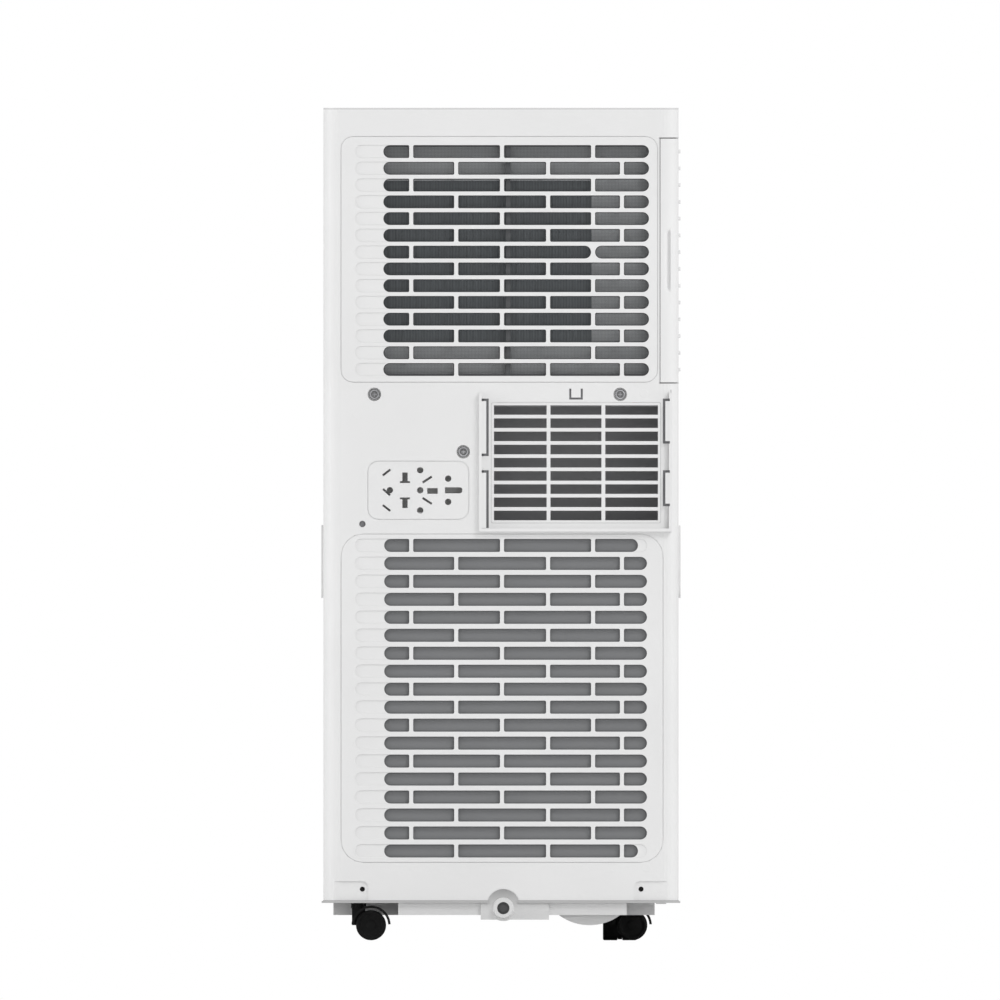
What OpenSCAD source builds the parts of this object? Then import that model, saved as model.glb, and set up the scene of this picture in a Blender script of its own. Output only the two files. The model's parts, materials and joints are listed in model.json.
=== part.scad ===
// Portable air conditioner, tower type, on four twin-wheel castors.
// Millimetres. +Z is up, the back of the appliance faces -Y and the air outlet faces +Y.
// The origin is on the floor, under the middle of the appliance.

/* [Body] */
// Width between the two side faces
body_w = 300; // [290:1:380]
// Depth from the flat rear face to the front corners
body_d = 304; // [295:1:380]
// Height of the top above the floor
body_h = 703; // [698:1:900]
// Thickness of the moulded panels
wall = 2.5; // [2:0.1:3]
// Radius of the rear vertical corners
rear_r = 15; // [12:1:18]
// Radius of the front vertical corners
front_r = 30; // [24:1:40]
// Thickness of the top cover's plate
top_t = 1.5; // [1.2:0.1:2.5]
// Gap between neighbouring covers
seam = 0.5; // [0.3:0.1:0.8]

/* [Rear fittings] */
// How far the hose rails stand proud of the rear face
rail_proud = 5.5; // [4.5:0.5:8]
// How far the handle rims and door ribs stand proud of the sides
lip = 1.7; // [1:0.1:2.5]
// Rows of slots in the upper grille
upper_rows = 14; // [11:1:14]
// Distance between the upper rows
upper_pitch = 14.16; // [13:0.01:14.4]
// Height of an upper slot
upper_slot_h = 10.8; // [8:0.1:11.5]
// Rows of slots in the lower grille
lower_rows = 18; // [14:1:18]
// Distance between the lower rows
lower_pitch = 15.18; // [13:0.01:15.3]
// Height of a lower slot
lower_slot_h = 11; // [8:0.1:12]
// Width of the bar between two slots in a row
bar_w = 3.4; // [2.4:0.1:5]
// Height of the hose seat and its rails
exhaust_h = 117.4; // [100:0.1:118]
// Width of the hose seat and its rails
exhaust_w = 163; // [150:1:168]
// Outer radius of the drain spout
spout_r = 8.1; // [7:0.1:9]
// Radius of the drain spout's bore
spout_bore_r = 5.2; // [4:0.1:5.8]
// Radius of the round pin holes in the plug holder
plug_hole_r = 2.7; // [2:0.1:3.2]

/* [Handles] */
// Length of a handle's rim along the side
handle_l = 88; // [78:1:100]
// Height of a handle's rim
handle_h = 61.6; // [54:0.1:68]
// Depth of the grip behind the side face
handle_deep = 26; // [20:1:28]

/* [Castors] */
// Radius of a castor wheel
wheel_r = 12.75; // [11:0.05:13]
// Width over the twin wheels
wheel_pair_w = 28.6; // [24:0.1:30]
// Distance from the stem's axis to the axle
castor_trail = 10.5; // [8:0.1:11]
// Radius of the castor stem
stem_r = 4; // [3:0.1:5]
// Radius of the castor axle
axle_r = 2; // [1.5:0.1:2.5]
// Height of a castor under its seat
castor_h = 31.3; // [31:0.1:36]

/* [Air outlet] */
// Width of the outlet opening
outlet_w = 218; // [190:1:224]
// Height of the outlet opening
outlet_h = 76; // [66:1:80]
// Radius of the flap's hinge pins
flap_pin_r = 2.5; // [2:0.1:3]
// Distance from a vane's pivot to its crank pin
vane_arm = 12; // [10:0.5:12]

/* [Controls] */
// Radius of a push button
button_r = 7; // [5:0.5:8]
// How far a button can be pressed
button_travel = 1; // [0.6:0.1:1.2]

/* [Fans] */
// Radius of the fan wheel in the cooling half
cool_wheel_r = 55; // [45:1:56]
// Radius of the fan wheel in the heat-rejection half
heat_wheel_r = 75; // [60:1:76]
// Radius of both fan shafts
shaft_r = 4; // [3:0.5:5]

/* [Hidden] */

// Clearances
run_fit = 0.06;      // radial, for pins and shafts that turn in a bore
loose_fit = 0.3;     // between parts that pass each other
fit = 0.2;           // around an insert in its opening
through = 20;        // how far a cutting tool runs past the part

// Body
half_w = body_w / 2;
half_d = body_d / 2;
bow = rail_proud;                  // the front bows out as far as the rails stand back
rear_y = -half_d;
front_y = half_d + bow;
deck_z = castor_h + loose_fit;     // underside of the base tray's deck
flange_t = 1.5;
panel_z0 = deck_z + flange_t;
panel_z1 = body_h - top_t;
split_y = 40;                      // where the front and rear panels meet
corner_steps = 8;
bow_steps = 10;

// Grille fields
slot_x0 = -half_w + 51.4;
upper_slot_x0 = slot_x0 - 0.7;
upper_slot_x1 = half_w - 25;
lower_slot_x1 = half_w - 26.7;
short_row_cut = 7.6;               // the first and last lower rows end this much sooner
odd_bars = [0.102, 0.445, 0.789];  // places of the bars as shares of the slot span
even_bars = [0.272, 0.619, 0.898];
inner_r = 1.2;                     // corner radius where a slot meets a bar
upper_x0 = -half_w + 14.65;
upper_x1 = half_w - 17.4;
upper_top_margin = 13;             // from the grille's upper edge to its first row
upper_low_margin = 11;
upper_r = 10.5;
upper_z1 = body_h - 23.9;
upper_z0 = upper_z1 - upper_top_margin - upper_low_margin - (upper_rows - 1) * upper_pitch;
lower_x0 = -half_w + 14.7;
lower_x1 = half_w - 12.9;
lower_margin = 9.9;
lower_r = 19;
lower_z0 = panel_z0 + 32.4;
lower_z1 = lower_z0 + 2 * lower_margin + (lower_rows - 1) * lower_pitch;

// Hose seat
exhaust_x1 = half_w - 5.6;
exhaust_x0 = exhaust_x1 - exhaust_w;
exhaust_z0 = lower_z1 + 1.8;
exhaust_z1 = exhaust_z0 + exhaust_h;
rail_t = 2.6;
grid_x0 = exhaust_x0 + 12.7;
grid_x1 = exhaust_x1 - 11.8;
grid_bar = 3.2;
grid_mid_w = 43.1;                 // width of the middle column
grid_side_w = (grid_x1 - grid_x0 - 2 * grid_bar - grid_mid_w) / 2;
grid_rows = 9;
grid_pitch = (exhaust_h - 28.3) / (grid_rows - 1);
grid_slot_h = grid_pitch - 3;
grid_z0 = exhaust_z0 + 13.6;       // centre of the lowest row
grid_rim = 2.4;                    // rim of the insert around the slots
clip_w = 2.1;                      // width of a clip slot
clip_back = 3.8;                   // length of a clip slot's return
clip_z = [63.8, 112.3, 3, 51.8, 74.3, 21.5];  // ends of the clip slots above the seat's lower edge
hook_step = 0.3;                   // a hook stands this much lower than its rail
left_clip_x = exhaust_x0 + 7.2;
right_clip_x = exhaust_x1 - 6.6;
latch_x = exhaust_x0 + 76.3;
latch_w = 11.4;
latch_h = 9.2;
latch_line = 1.7;

// Plug holder
plug_x0 = -half_w + 37.4;
plug_x1 = plug_x0 + 85.7;
plug_z0 = exhaust_z0 + 10.1;
plug_z1 = plug_z0 + 49.6;
plug_r = 8.9;
plug_mid_z = (plug_z0 + plug_z1) / 2;
plug_pocket = 22;                  // depth of the space behind the plate

// Screws
boss_r = 7;
boss_len = 8;
recess_r = 5.7;
recess_deep = 5.5;
head_r = 4.4;
head_t = 2.2;
screw_r = 1.9;
screw_hole_r = 2.2;
panel_screws = [
    [-half_w + 43.1, exhaust_z1 - 1.5],
    [half_w - 49.3, exhaust_z1 - 1.5],
    [exhaust_x0 - 13.2, exhaust_z0 + 67.4]
];
foot_screws = [[-half_w + 33, panel_z0 + 10.1], [half_w - 31.7, panel_z0 + 10.1]];
foot_pocket_in = 37.8;             // reach of a foot pocket from the side face
foot_pocket_h = 16.8;
foot_pocket_deep = 1.2;
foot_pocket_r = 5;
accessory_hole = [-half_w + 33, exhaust_z0 + 6.4];
accessory_r = 2.7;

// Handles
handle_y = -20;
handle_z = lower_z1 - 23.5;
handle_rim = 5;
handle_wall = 2;
handle_r = 9;

// Filter drawer
door_x0 = half_w - rear_r - 0.5;
door_y1 = rear_y + 58;
door_z0 = upper_z0;
door_z1 = upper_z1 - 2;
door_web = 3;
door_gap = 0.8;
groove_deep = 1.4;
groove_w = 4.5;
groove_h = 60;
rib_t = 3.2;
filter_y0 = rear_y + 5;
filter_t = 6;
filter_x0 = upper_x0 + 13;
filter_rim = 5;
mesh_t = 1.2;
screen_t = 2;

// Outlet
outlet_wall = 3;
outlet_z1 = body_h - 22;
outlet_z0 = outlet_z1 - outlet_h;
outlet_back_y = half_d - 48;
flap_t = 3;
flap_y = half_d - 7;
flap_z = outlet_z0 + 6;
flap_gap = 0.6;
vane_count = 5;
vane_t = 1.6;
vane_reach = 14;
vane_y = half_d - 26;
vane_step = outlet_w / (vane_count + 0.5);
vane_pin_r = 1.5;
crank_r = 1.2;
link_t = 4;
link_z = (outlet_z0 + outlet_z1) / 2;
link_y0 = vane_y - vane_arm - 6;
link_y1 = vane_y - vane_arm + 3;
motor_r = 10;
motor_offset = 8.2;
motor_t = 9;

// Controls
fascia_x = 78;
fascia_y0 = 18;
fascia_y1 = 98;
fascia_t = 3;
fascia_ledge = 3;
fascia_r = 9;
button_y = fascia_y0 + 21;
button_step = 27;
button_flange = 1.3;
window_x = 33;
window_y0 = fascia_y0 + 43;
window_y1 = fascia_y0 + 68;
window_t = 1.5;
board_z = body_h - 14;
board_t = 1.6;
switch_h = 1;

// Base tray
tray_z0 = deck_z - 10.3;
tray_floor = 3;
tray_wall = 3;
tray_inset = wall + 0.5;
tray_x0 = -half_w + 8.5;
tray_x1 = half_w - 20.2;
tray_rim_z = panel_z0 + 15;
swing_r = sqrt(pow(castor_trail + wheel_r, 2) + pow(wheel_pair_w / 2, 2)) + 1.7;
rl_stem = [-half_w + 29.8, rear_y + 34];
rr_stem = [half_w - 49.6, rear_y + 92];
fl_stem = [-half_w + 29.8, half_d - 47];
fr_stem = [half_w - 49.6, half_d - 47];
rear_cut_x = half_w - 43.8;
rear_cut_y = rr_stem[1] - swing_r - tray_wall;
stem_boss_r = 9;
stem_len = 15;
rl_bay_w = 63.2;                   // width of the rear left castor bay
sump_r = 43.6;                     // the sump is the lower part of a round channel along Y
sump_drop = 8.6;
sump_x = exhaust_x0 + 93.4;
sump_y0 = rear_y + 13;
sump_y1 = rr_stem[1] - swing_r - 6;
lug_x0 = half_w - 19.1;
lug_x1 = half_w - 10.4;
drain_x = 2;
drain_z = deck_z - 4.5;
drain_arch_r = 13.7;
drain_arch_z = deck_z - 1.9;
drain_block_x0 = drain_x - 19.1;
drain_block_x1 = drain_x + 38.5;
drain_block_drop = 3.9;
drain_block_y1 = rear_y + 16;
plug_len = 12;
plug_back = 1.2;

// Castors
neck_w = 11.3;
web_t = 4;
web_lift = 0.8;                    // gap between the web and the floor
hood_in = wheel_r + 1.7;
hood_out = wheel_r + 3.8;
wheel_gap = 0.5;
wheel_dish = 1;                    // depth of the dish in a wheel's outer face
wheel_cap = 1.5;                   // thickness left over the end of the axle

// Cooling half
partition_t = 4;
partition_z = upper_z0 - 8;
pan_h = 16;                        // height of the drip pan under the evaporator
shroud_y = rear_y + 13;
shroud_t = 2.5;
coil_x0 = slot_x0 - 16;
coil_x1 = slot_x0 + 175;
coil_z0 = upper_z0 + 31.6;
coil_z1 = upper_z1 - 37.7;
coil_lap = 4;
coil_y0 = shroud_y + shroud_t + 0.5;
coil_deep = 30;
cool_x = -15;
cool_z = upper_z0 + 92;
cool_y0 = coil_y0 + coil_deep + 8;
cool_deep = 56;
casing_t = 2.5;
tongue_angle = 60;
cool_r0 = cool_wheel_r + 6;
cool_r1 = cool_wheel_r + 30;
duct_z0 = outlet_z0 - outlet_wall + 1;
duct_z1 = outlet_z1 + outlet_wall - 1;
duct_y1 = outlet_back_y - loose_fit;

// Heat-rejection half
heat_coil_x = half_w - 22;
heat_coil_z0 = panel_z0 + 22;
heat_coil_z1 = exhaust_z0 - 3;
heat_coil_y0 = rear_y + 14;
heat_coil_deep = 32;
heat_x = -10;
heat_z = heat_coil_z0 + 140;
heat_y0 = heat_coil_y0 + heat_coil_deep + 10;
heat_deep = 76;
heat_r0 = heat_wheel_r + 7;
heat_r1 = heat_wheel_r + 43;
heat_duct_x0 = grid_x0 - grid_rim - 5;
heat_duct_x1 = grid_x1 + grid_rim;
heat_duct_z1 = exhaust_z1 - 1.5 - boss_r - 0.5;
motor_body_r = 36;
motor_len = 36;
shaft_reach = 12;
blade_count = 28;
blade_deep = 11;
blade_t = 1.4;

// Refrigerant circuit
comp_x = 10;
comp_y = half_d - 66;
comp_r = 52;
comp_foot_h = 11;
comp_h = 224;
tube_r = 3.5;
bend_r = 9.5;
pipe_r = 3.2;
pipe_sides = 8;
pipe_steps = 6;

// ---- Outlines and helpers ----

function arc_points(cx, cy, r, a0, a1, n) =
    [for (i = [0:n]) [cx + r * cos(a0 + (a1 - a0) * i / n), cy + r * sin(a0 + (a1 - a0) * i / n)]];

// Plan of the body, moved inwards by inset
function plan(inset) = concat(
    arc_points(-half_w + rear_r, rear_y + rear_r, rear_r - inset, 180, 270, corner_steps),
    arc_points(half_w - rear_r, rear_y + rear_r, rear_r - inset, 270, 360, corner_steps),
    arc_points(half_w - front_r, half_d - front_r, front_r - inset, 0, 90, corner_steps),
    [for (i = [1:bow_steps * 2 - 1])
        let (s = 1 - i / bow_steps)
        [s * (half_w - front_r), half_d - inset + bow * (1 - s * s)]],
    arc_points(-half_w + front_r, half_d - front_r, front_r - inset, 90, 180, corner_steps)
);

// Rectangle with its own corner radius at each end
function slot_points(x0, x1, z0, z1, r0, r1, n = 4) = concat(
    arc_points(x0 + r0, z0 + r0, r0, 180, 270, n),
    arc_points(x1 - r1, z0 + r1, r1, 270, 360, n),
    arc_points(x1 - r1, z1 - r1, r1, 0, 90, n),
    arc_points(x0 + r0, z1 - r0, r0, 90, 180, n)
);

function spiral_points(cx, cz, r0, r1, a0, a1, n) =
    [for (i = [0:n])
        let (a = a0 + (a1 - a0) * i / n, r = r0 + (r1 - r0) * i / n)
        [cx + r * cos(a), cz + r * sin(a)]];

module rounded(x0, x1, z0, z1, r) {
    polygon(slot_points(x0, x1, z0, z1, r, r));
}

// Draws an XZ outline and gives it depth from y0 to y1
module slab_y(y0, y1) {
    translate([0, y1, 0]) rotate([90, 0, 0]) linear_extrude(height = y1 - y0) children();
}

// Draws a YZ outline and gives it depth from x0 to x1
module slab_x(x0, x1) {
    translate([x0, 0, 0]) rotate([90, 0, 90]) linear_extrude(height = x1 - x0) children();
}

module slab_z(z0, z1) {
    translate([0, 0, z0]) linear_extrude(height = z1 - z0) children();
}

module box(x0, x1, y0, y1, z0, z1) {
    translate([x0, y0, z0]) cube([x1 - x0, y1 - y0, z1 - z0]);
}

// Cylinder along Y from y0 to y1
module rod_y(x, z, y0, y1, r) {
    translate([x, y1, z]) rotate([90, 0, 0]) cylinder(r = r, h = y1 - y0, $fn = 48);
}

module rod_x(y, z, x0, x1, r) {
    translate([x0, y, z]) rotate([0, 90, 0]) cylinder(r = r, h = x1 - x0, $fn = 48);
}

module rod_z(x, y, z0, z1, r) {
    translate([x, y, z0]) cylinder(r = r, h = z1 - z0, $fn = 48);
}

// Part of the outer skin between two insets
module skin(inset0, inset1, z0, z1) {
    slab_z(z0, z1) difference() {
        polygon(plan(inset0));
        polygon(plan(inset1));
    }
}

// ---- Grilles ----

function bar_x(share) = slot_x0 + share * (upper_slot_x1 - slot_x0);
function row_bars(row) = row % 2 == 0 ? odd_bars : even_bars;

// One row of four slots; row 0 is the topmost
module slot_row(row, zc, h, x_start, x_end) {
    bars = row_bars(row);
    z0 = zc - h / 2;
    z1 = zc + h / 2;
    for (k = [0:3]) {
        x0 = k == 0 ? x_start : bar_x(bars[k - 1]) + bar_w / 2;
        x1 = k == 3 ? x_end : bar_x(bars[k]) - bar_w / 2;
        round_r = h / 2 - 0.01;
        polygon(slot_points(x0, x1, z0, z1, k == 0 ? round_r : inner_r, k == 3 ? round_r : inner_r));
    }
}

function upper_row_z(row) = upper_z1 - upper_top_margin - row * upper_pitch;
function lower_row_z(row) = lower_z1 - lower_margin - row * lower_pitch;
function lower_end(row) = lower_slot_x1 - (row == 0 || row == lower_rows - 1 ? short_row_cut : 0);

module upper_grille() {
    color("whitesmoke") slab_y(rear_y, rear_y + wall) difference() {
        rounded(upper_x0 + seam, upper_x1 - seam, upper_z0 + seam, upper_z1 - seam, upper_r - seam);
        for (row = [0:upper_rows - 1])
            slot_row(row, upper_row_z(row), upper_slot_h, upper_slot_x0, upper_slot_x1);
    }
}

module lower_grille() {
    color("whitesmoke") slab_y(rear_y, rear_y + wall) difference() {
        rounded(lower_x0 + seam, lower_x1 - seam, lower_z0 + seam, lower_z1 - seam, lower_r - seam);
        for (row = [0:lower_rows - 1])
            slot_row(row, lower_row_z(row), lower_slot_h, slot_x0, lower_end(row));
    }
}

module exhaust_grille() {
    mid_x0 = grid_x0 + grid_side_w + grid_bar;
    columns = [[grid_x0, grid_side_w], [mid_x0, grid_mid_w], [grid_x1 - grid_side_w, grid_side_w]];
    color("whitesmoke") slab_y(rear_y, rear_y + wall) difference() {
        exhaust_plate(fit);
        for (row = [0:grid_rows - 1], c = columns)
            translate([c[0], grid_z0 + row * grid_pitch - grid_slot_h / 2]) square([c[1], grid_slot_h]);
    }
}

module exhaust_plate(gap) {
    z1 = grid_z0 + (grid_rows - 1) * grid_pitch + grid_slot_h / 2 + grid_rim;
    z0 = grid_z0 - grid_slot_h / 2 - grid_rim;
    rounded(grid_x0 - grid_rim + gap, grid_x1 + grid_rim - gap, z0 + gap, z1 - gap, 1.5);
}

// ---- Rear panel ----

// Slot with a return at either end; side is 1 when the returns point to -X
module clip_slot(x, z0, z1, side, low_return) {
    translate([x - clip_w / 2, z0]) square([clip_w, z1 - z0]);
    back_x = side > 0 ? x - clip_back - clip_w / 2 : x;
    translate([back_x, z1 - clip_w]) square([clip_back + clip_w / 2, clip_w]);
    if (low_return)
        translate([back_x, z0]) square([clip_back + clip_w / 2, clip_w]);
}

module clip_slots() {
    clip_slot(left_clip_x, exhaust_z0 + clip_z[0], exhaust_z0 + clip_z[1], 1, true);
    clip_slot(left_clip_x, exhaust_z0 + clip_z[2], exhaust_z0 + clip_z[3], 1, false);
    clip_slot(right_clip_x, exhaust_z0 + clip_z[4], exhaust_z0 + clip_z[1], -1, true);
    clip_slot(right_clip_x, exhaust_z0 + clip_z[5], exhaust_z0 + clip_z[3], -1, true);
    difference() {
        translate([latch_x, exhaust_z1 - 5.9]) square([latch_w, latch_h]);
        translate([latch_x + latch_line, exhaust_z1 - 5.9 + latch_line])
            square([latch_w - 2 * latch_line, latch_h]);
    }
}

// Hook beside a clip slot; heights are above the seat's lower edge
module hook(x0, x1, z0, z1) {
    slab_y(rear_y - rail_proud + hook_step, rear_y + rear_r / 2)
        translate([x0, exhaust_z0 + z0]) square([x1 - x0, z1 - z0]);
}

module hose_rails() {
    left_x1 = left_clip_x - clip_w / 2;
    right_x0 = right_clip_x + clip_w / 2;
    difference() {
        union() {
            slab_y(rear_y - rail_proud, rear_y + rear_r / 2) difference() {
                translate([exhaust_x0, exhaust_z0]) square([exhaust_w, exhaust_h]);
                translate([exhaust_x0 + rail_t, exhaust_z0 + rail_t])
                    square([exhaust_w - 2 * rail_t, exhaust_h + rail_t]);
            }
            hook(exhaust_x0 + 1, left_x1, clip_z[0] + clip_w, clip_z[1] - clip_w);
            hook(exhaust_x0 + 1, left_x1, clip_z[2], clip_z[3] - clip_w);
            hook(right_x0, exhaust_x1 - 1, clip_z[4] + clip_w, clip_z[1] - clip_w);
            hook(right_x0, exhaust_x1 - 1, clip_z[5] + clip_w, clip_z[3] - clip_w);
        }
        slab_z(exhaust_z0 - 1, exhaust_z1 + 1) polygon(plan(wall / 2));
    }
}

module handle_opening(gap) {
    y = handle_l / 2 - handle_rim + gap;
    z = handle_h / 2 - handle_rim + gap;
    rounded(handle_y - y, handle_y + y, handle_z - z, handle_z + z, handle_r - handle_rim + 2);
}

module rear_panel() {
    color("whitesmoke") difference() {
        union() {
            intersection() {
                skin(0, wall, panel_z0, panel_z1);
                box(-half_w, half_w, rear_y, split_y - seam / 2, panel_z0, panel_z1);
            }
            hose_rails();
            for (p = panel_screws) rod_y(p[0], p[1], rear_y + wall / 2, rear_y + boss_len, boss_r);
        }
        slab_y(rear_y - through, rear_y + wall + 1) {
            rounded(upper_x0, upper_x1, upper_z0, upper_z1, upper_r);
            rounded(lower_x0, lower_x1, lower_z0, lower_z1, lower_r);
            exhaust_plate(0);
            rounded(plug_x0, plug_x1, plug_z0, plug_z1, plug_r);
        }
        slab_y(rear_y - through, rear_y + rear_r) clip_slots();
        for (p = panel_screws) {
            rod_y(p[0], p[1], rear_y - 1, rear_y + recess_deep, recess_r);
            rod_y(p[0], p[1], rear_y - 1, rear_y + boss_len + 1, screw_hole_r);
        }
        for (p = foot_screws) rod_y(p[0], p[1], rear_y - 1, rear_y + wall + 1, screw_hole_r);
        rod_y(accessory_hole[0], accessory_hole[1], rear_y - 1, rear_y + wall + 1, accessory_r);
        foot_pocket(-half_w - through, -half_w + foot_pocket_in);
        foot_pocket(half_w - foot_pocket_in, half_w + through);
        rod_y(drain_x, drain_arch_z, rear_y - 1, rear_y + wall + 1, drain_arch_r);
        box(door_x0 - door_gap, half_w + 1, rear_y - 1, door_y1 + door_gap,
            door_z0 - door_gap, door_z1 + door_gap);
        slab_x(half_w - wall - 1, half_w + 1) handle_opening(fit);
        slab_x(-half_w - 1, -half_w + wall + 1) handle_opening(fit);
    }
}

// Shallow flat pocket around a foot screw; it runs out through the rounded corner
module foot_pocket(x0, x1) {
    slab_y(rear_y - through, rear_y + foot_pocket_deep)
        rounded(x0, x1, panel_z0 - foot_pocket_h, panel_z0 + foot_pocket_h, foot_pocket_r);
}

module front_panel() {
    tongue = 8;
    color("whitesmoke") difference() {
        union() {
            intersection() {
                skin(0, wall, panel_z0, panel_z1);
                box(-half_w, half_w, split_y + seam / 2, front_y, panel_z0, panel_z1);
            }
            intersection() {
                skin(wall - 0.01, wall + 2, panel_z0 + 20, panel_z1 - 12);
                box(-half_w, half_w, split_y + seam / 2, split_y + tongue, panel_z0, panel_z1);
            }
            intersection() {
                skin(wall + fit, wall + 2, panel_z0 + 20, panel_z1 - 12);
                box(-half_w, half_w, split_y - tongue, split_y + 1, panel_z0, panel_z1);
            }
        }
        slab_y(half_d - 20, front_y + 1) outlet_outline(outlet_wall + fit);
    }
}

module outlet_outline(grow) {
    x = outlet_w / 2 + grow;
    rounded(-x, x, outlet_z0 - grow, outlet_z1 + grow, flap_gap + grow);
}

module top_cover() {
    skirt_in = wall + loose_fit;
    skirt_h = 8;
    color("whitesmoke") difference() {
        union() {
            slab_z(panel_z1, body_h) polygon(plan(0));
            skin(skirt_in, skirt_in + 2, panel_z1 - skirt_h, panel_z1);
            slab_z(body_h - fascia_t - 3, panel_z1)
                rounded(-fascia_x - 3, fascia_x + 3, fascia_y0 - 3, fascia_y1 + 3, fascia_r + 3);
        }
        slab_z(body_h - fascia_t, body_h + 1) rounded(-fascia_x, fascia_x, fascia_y0, fascia_y1, fascia_r);
        slab_z(panel_z1 - skirt_h, body_h)
            rounded(-fascia_x + fascia_ledge, fascia_x - fascia_ledge, fascia_y0 + fascia_ledge,
                fascia_y1 - fascia_ledge, fascia_r - fascia_ledge);
    }
}

// ---- Plug holder, screws and handles ----

// Slit of length l turned by angle about its centre
module slit(x, z, l, w, angle) {
    translate([x, z]) rotate(angle) square([l, w], center = true);
}

module plug_cuts() {
    for (side = [-1, 1]) {
        slit(plug_x0 + 16, plug_mid_z + side * 15, 8, 1.8, side * 38);
        slit(plug_x0 + 50.3, plug_mid_z + side * 9, 9.3, 1.9, side * 33);
        slit(plug_x0 + 31.55, plug_mid_z + side * 6.9, 8.5, 1.6, 0);
        slit(plug_x0 + 31.55, plug_mid_z + side * 11.2, 4.5, 7.6, 0);
    }
    slit(plug_x0 + 16, plug_mid_z - 1.6, 8, 1.8, -42);
    slit(plug_x0 + 54.8, plug_mid_z - 0.6, 8.9, 4.8, 0);
    polygon(slot_points(plug_x0 + 65.3, plug_x0 + 80.1, plug_mid_z - 2.6, plug_mid_z + 2.5, 0.4, 2.4));
}

module plug_holder() {
    pocket_wall = 2;
    holes = [[18.8, 0], [44.4, 17], [44.4, 0], [44.4, -17], [68, 9.8], [68, -9.8]];
    color("whitesmoke") difference() {
        union() {
            slab_y(rear_y, rear_y + wall)
                rounded(plug_x0 + seam, plug_x1 - seam, plug_z0 + seam, plug_z1 - seam, plug_r - seam);
            slab_y(rear_y + wall - 0.5, rear_y + wall + plug_pocket)
                rounded(plug_x0 + 4, plug_x1 - 4, plug_z0 + 4, plug_z1 - 4, plug_r - 4);
        }
        slab_y(rear_y + wall, rear_y + wall + plug_pocket - pocket_wall)
            rounded(plug_x0 + 4 + pocket_wall, plug_x1 - 4 - pocket_wall,
                plug_z0 + 4 + pocket_wall, plug_z1 - 4 - pocket_wall, plug_r - 4 - pocket_wall);
        slab_y(rear_y - 1, rear_y + wall + 1) plug_cuts();
        for (h = holes)
            rod_y(plug_x0 + h[0], plug_mid_z + h[1], rear_y - 1, rear_y + wall + 1, plug_hole_r);
    }
}

module screw(x, z, head_y, length) {
    recess_t = 1.1;
    difference() {
        union() {
            rod_y(x, z, head_y, head_y + head_t, head_r);
            rod_y(x, z, head_y + head_t - 0.1, head_y + head_t + length, screw_r);
        }
        for (a = [0, 90])
            translate([x, head_y, z]) rotate([0, a, 0]) cube([5, 2 * recess_t, 1.2], center = true);
    }
}

module rear_screws() {
    small_head_y = rear_y + foot_pocket_deep + 0.6;
    color("silver") {
        for (p = panel_screws) screw(p[0], p[1], rear_y + recess_deep - head_t, 8);
        for (p = foot_screws) rod_y(p[0], p[1], small_head_y, rear_y + wall + 4, screw_r);
    }
}

// Recessed grip for the +X side
module handle() {
    color("whitesmoke") difference() {
        union() {
            slab_x(half_w, half_w + lip) rounded(handle_y - handle_l / 2, handle_y + handle_l / 2,
                handle_z - handle_h / 2, handle_z + handle_h / 2, handle_r);
            slab_x(half_w - handle_deep, half_w + lip / 2) handle_opening(0);
        }
        slab_x(half_w - handle_deep + handle_wall, half_w + lip + 1) handle_opening(-handle_wall);
    }
}

module right_handle() {
    handle();
}

module left_handle() {
    mirror([1, 0, 0]) handle();
}

// ---- Filter drawer ----

module filter_door() {
    groove_x = half_w - 5.5;
    color("whitesmoke") difference() {
        union() {
            intersection() {
                skin(0, wall, door_z0, door_z1);
                box(door_x0, half_w, rear_y, door_y1, door_z0, door_z1);
            }
            box(door_x0, door_x0 + door_web, rear_y + wall / 2, filter_y0 + filter_t, door_z0, door_z1);
            for (row = [0:upper_rows - 1])
                translate([half_w - 0.5, rear_y + rear_r, upper_row_z(row) - rib_t / 2])
                    cube([lip + 0.5, door_y1 - rear_y - rear_r - 4, rib_t]);
        }
        intersection() {
            skin(-3, groove_deep, door_z0, door_z1);
            translate([groove_x - groove_w / 2, rear_y - 2, (door_z0 + door_z1) / 2 - groove_h / 2])
                cube([groove_w, rear_r, groove_h]);
        }
    }
}

module filter_frame() {
    z0 = door_z0 + 2;
    z1 = door_z1 - 2;
    mid = (filter_x0 + door_x0) / 2;
    color("dimgray") difference() {
        box(filter_x0, door_x0, filter_y0, filter_y0 + filter_t, z0, z1);
        for (side = [0, 1]) {
            x0 = side == 0 ? filter_x0 + filter_rim : mid + 2;
            x1 = side == 0 ? mid - 2 : door_x0 - filter_rim;
            box(x0, x1, filter_y0 - 1, filter_y0 + filter_t + 1, z0 + filter_rim, z1 - filter_rim);
        }
    }
}

module filter_mesh() {
    z0 = door_z0 + 2 + filter_rim;
    z1 = door_z1 - 2 - filter_rim;
    mid = (filter_x0 + door_x0) / 2;
    y0 = filter_y0 + filter_t / 2 - mesh_t / 2;
    color("dimgray") {
        box(filter_x0 + filter_rim, mid - 2, y0, y0 + mesh_t, z0, z1);
        box(mid + 2, door_x0 - filter_rim, y0, y0 + mesh_t, z0, z1);
    }
}

module lower_screen() {
    y0 = rear_y + wall + 2;
    color("gray") box(lower_x0 + 2, lower_x1 - 2, y0, y0 + screen_t, lower_z0 + 2, lower_z1 - 2);
}

// ---- Controls ----

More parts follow.
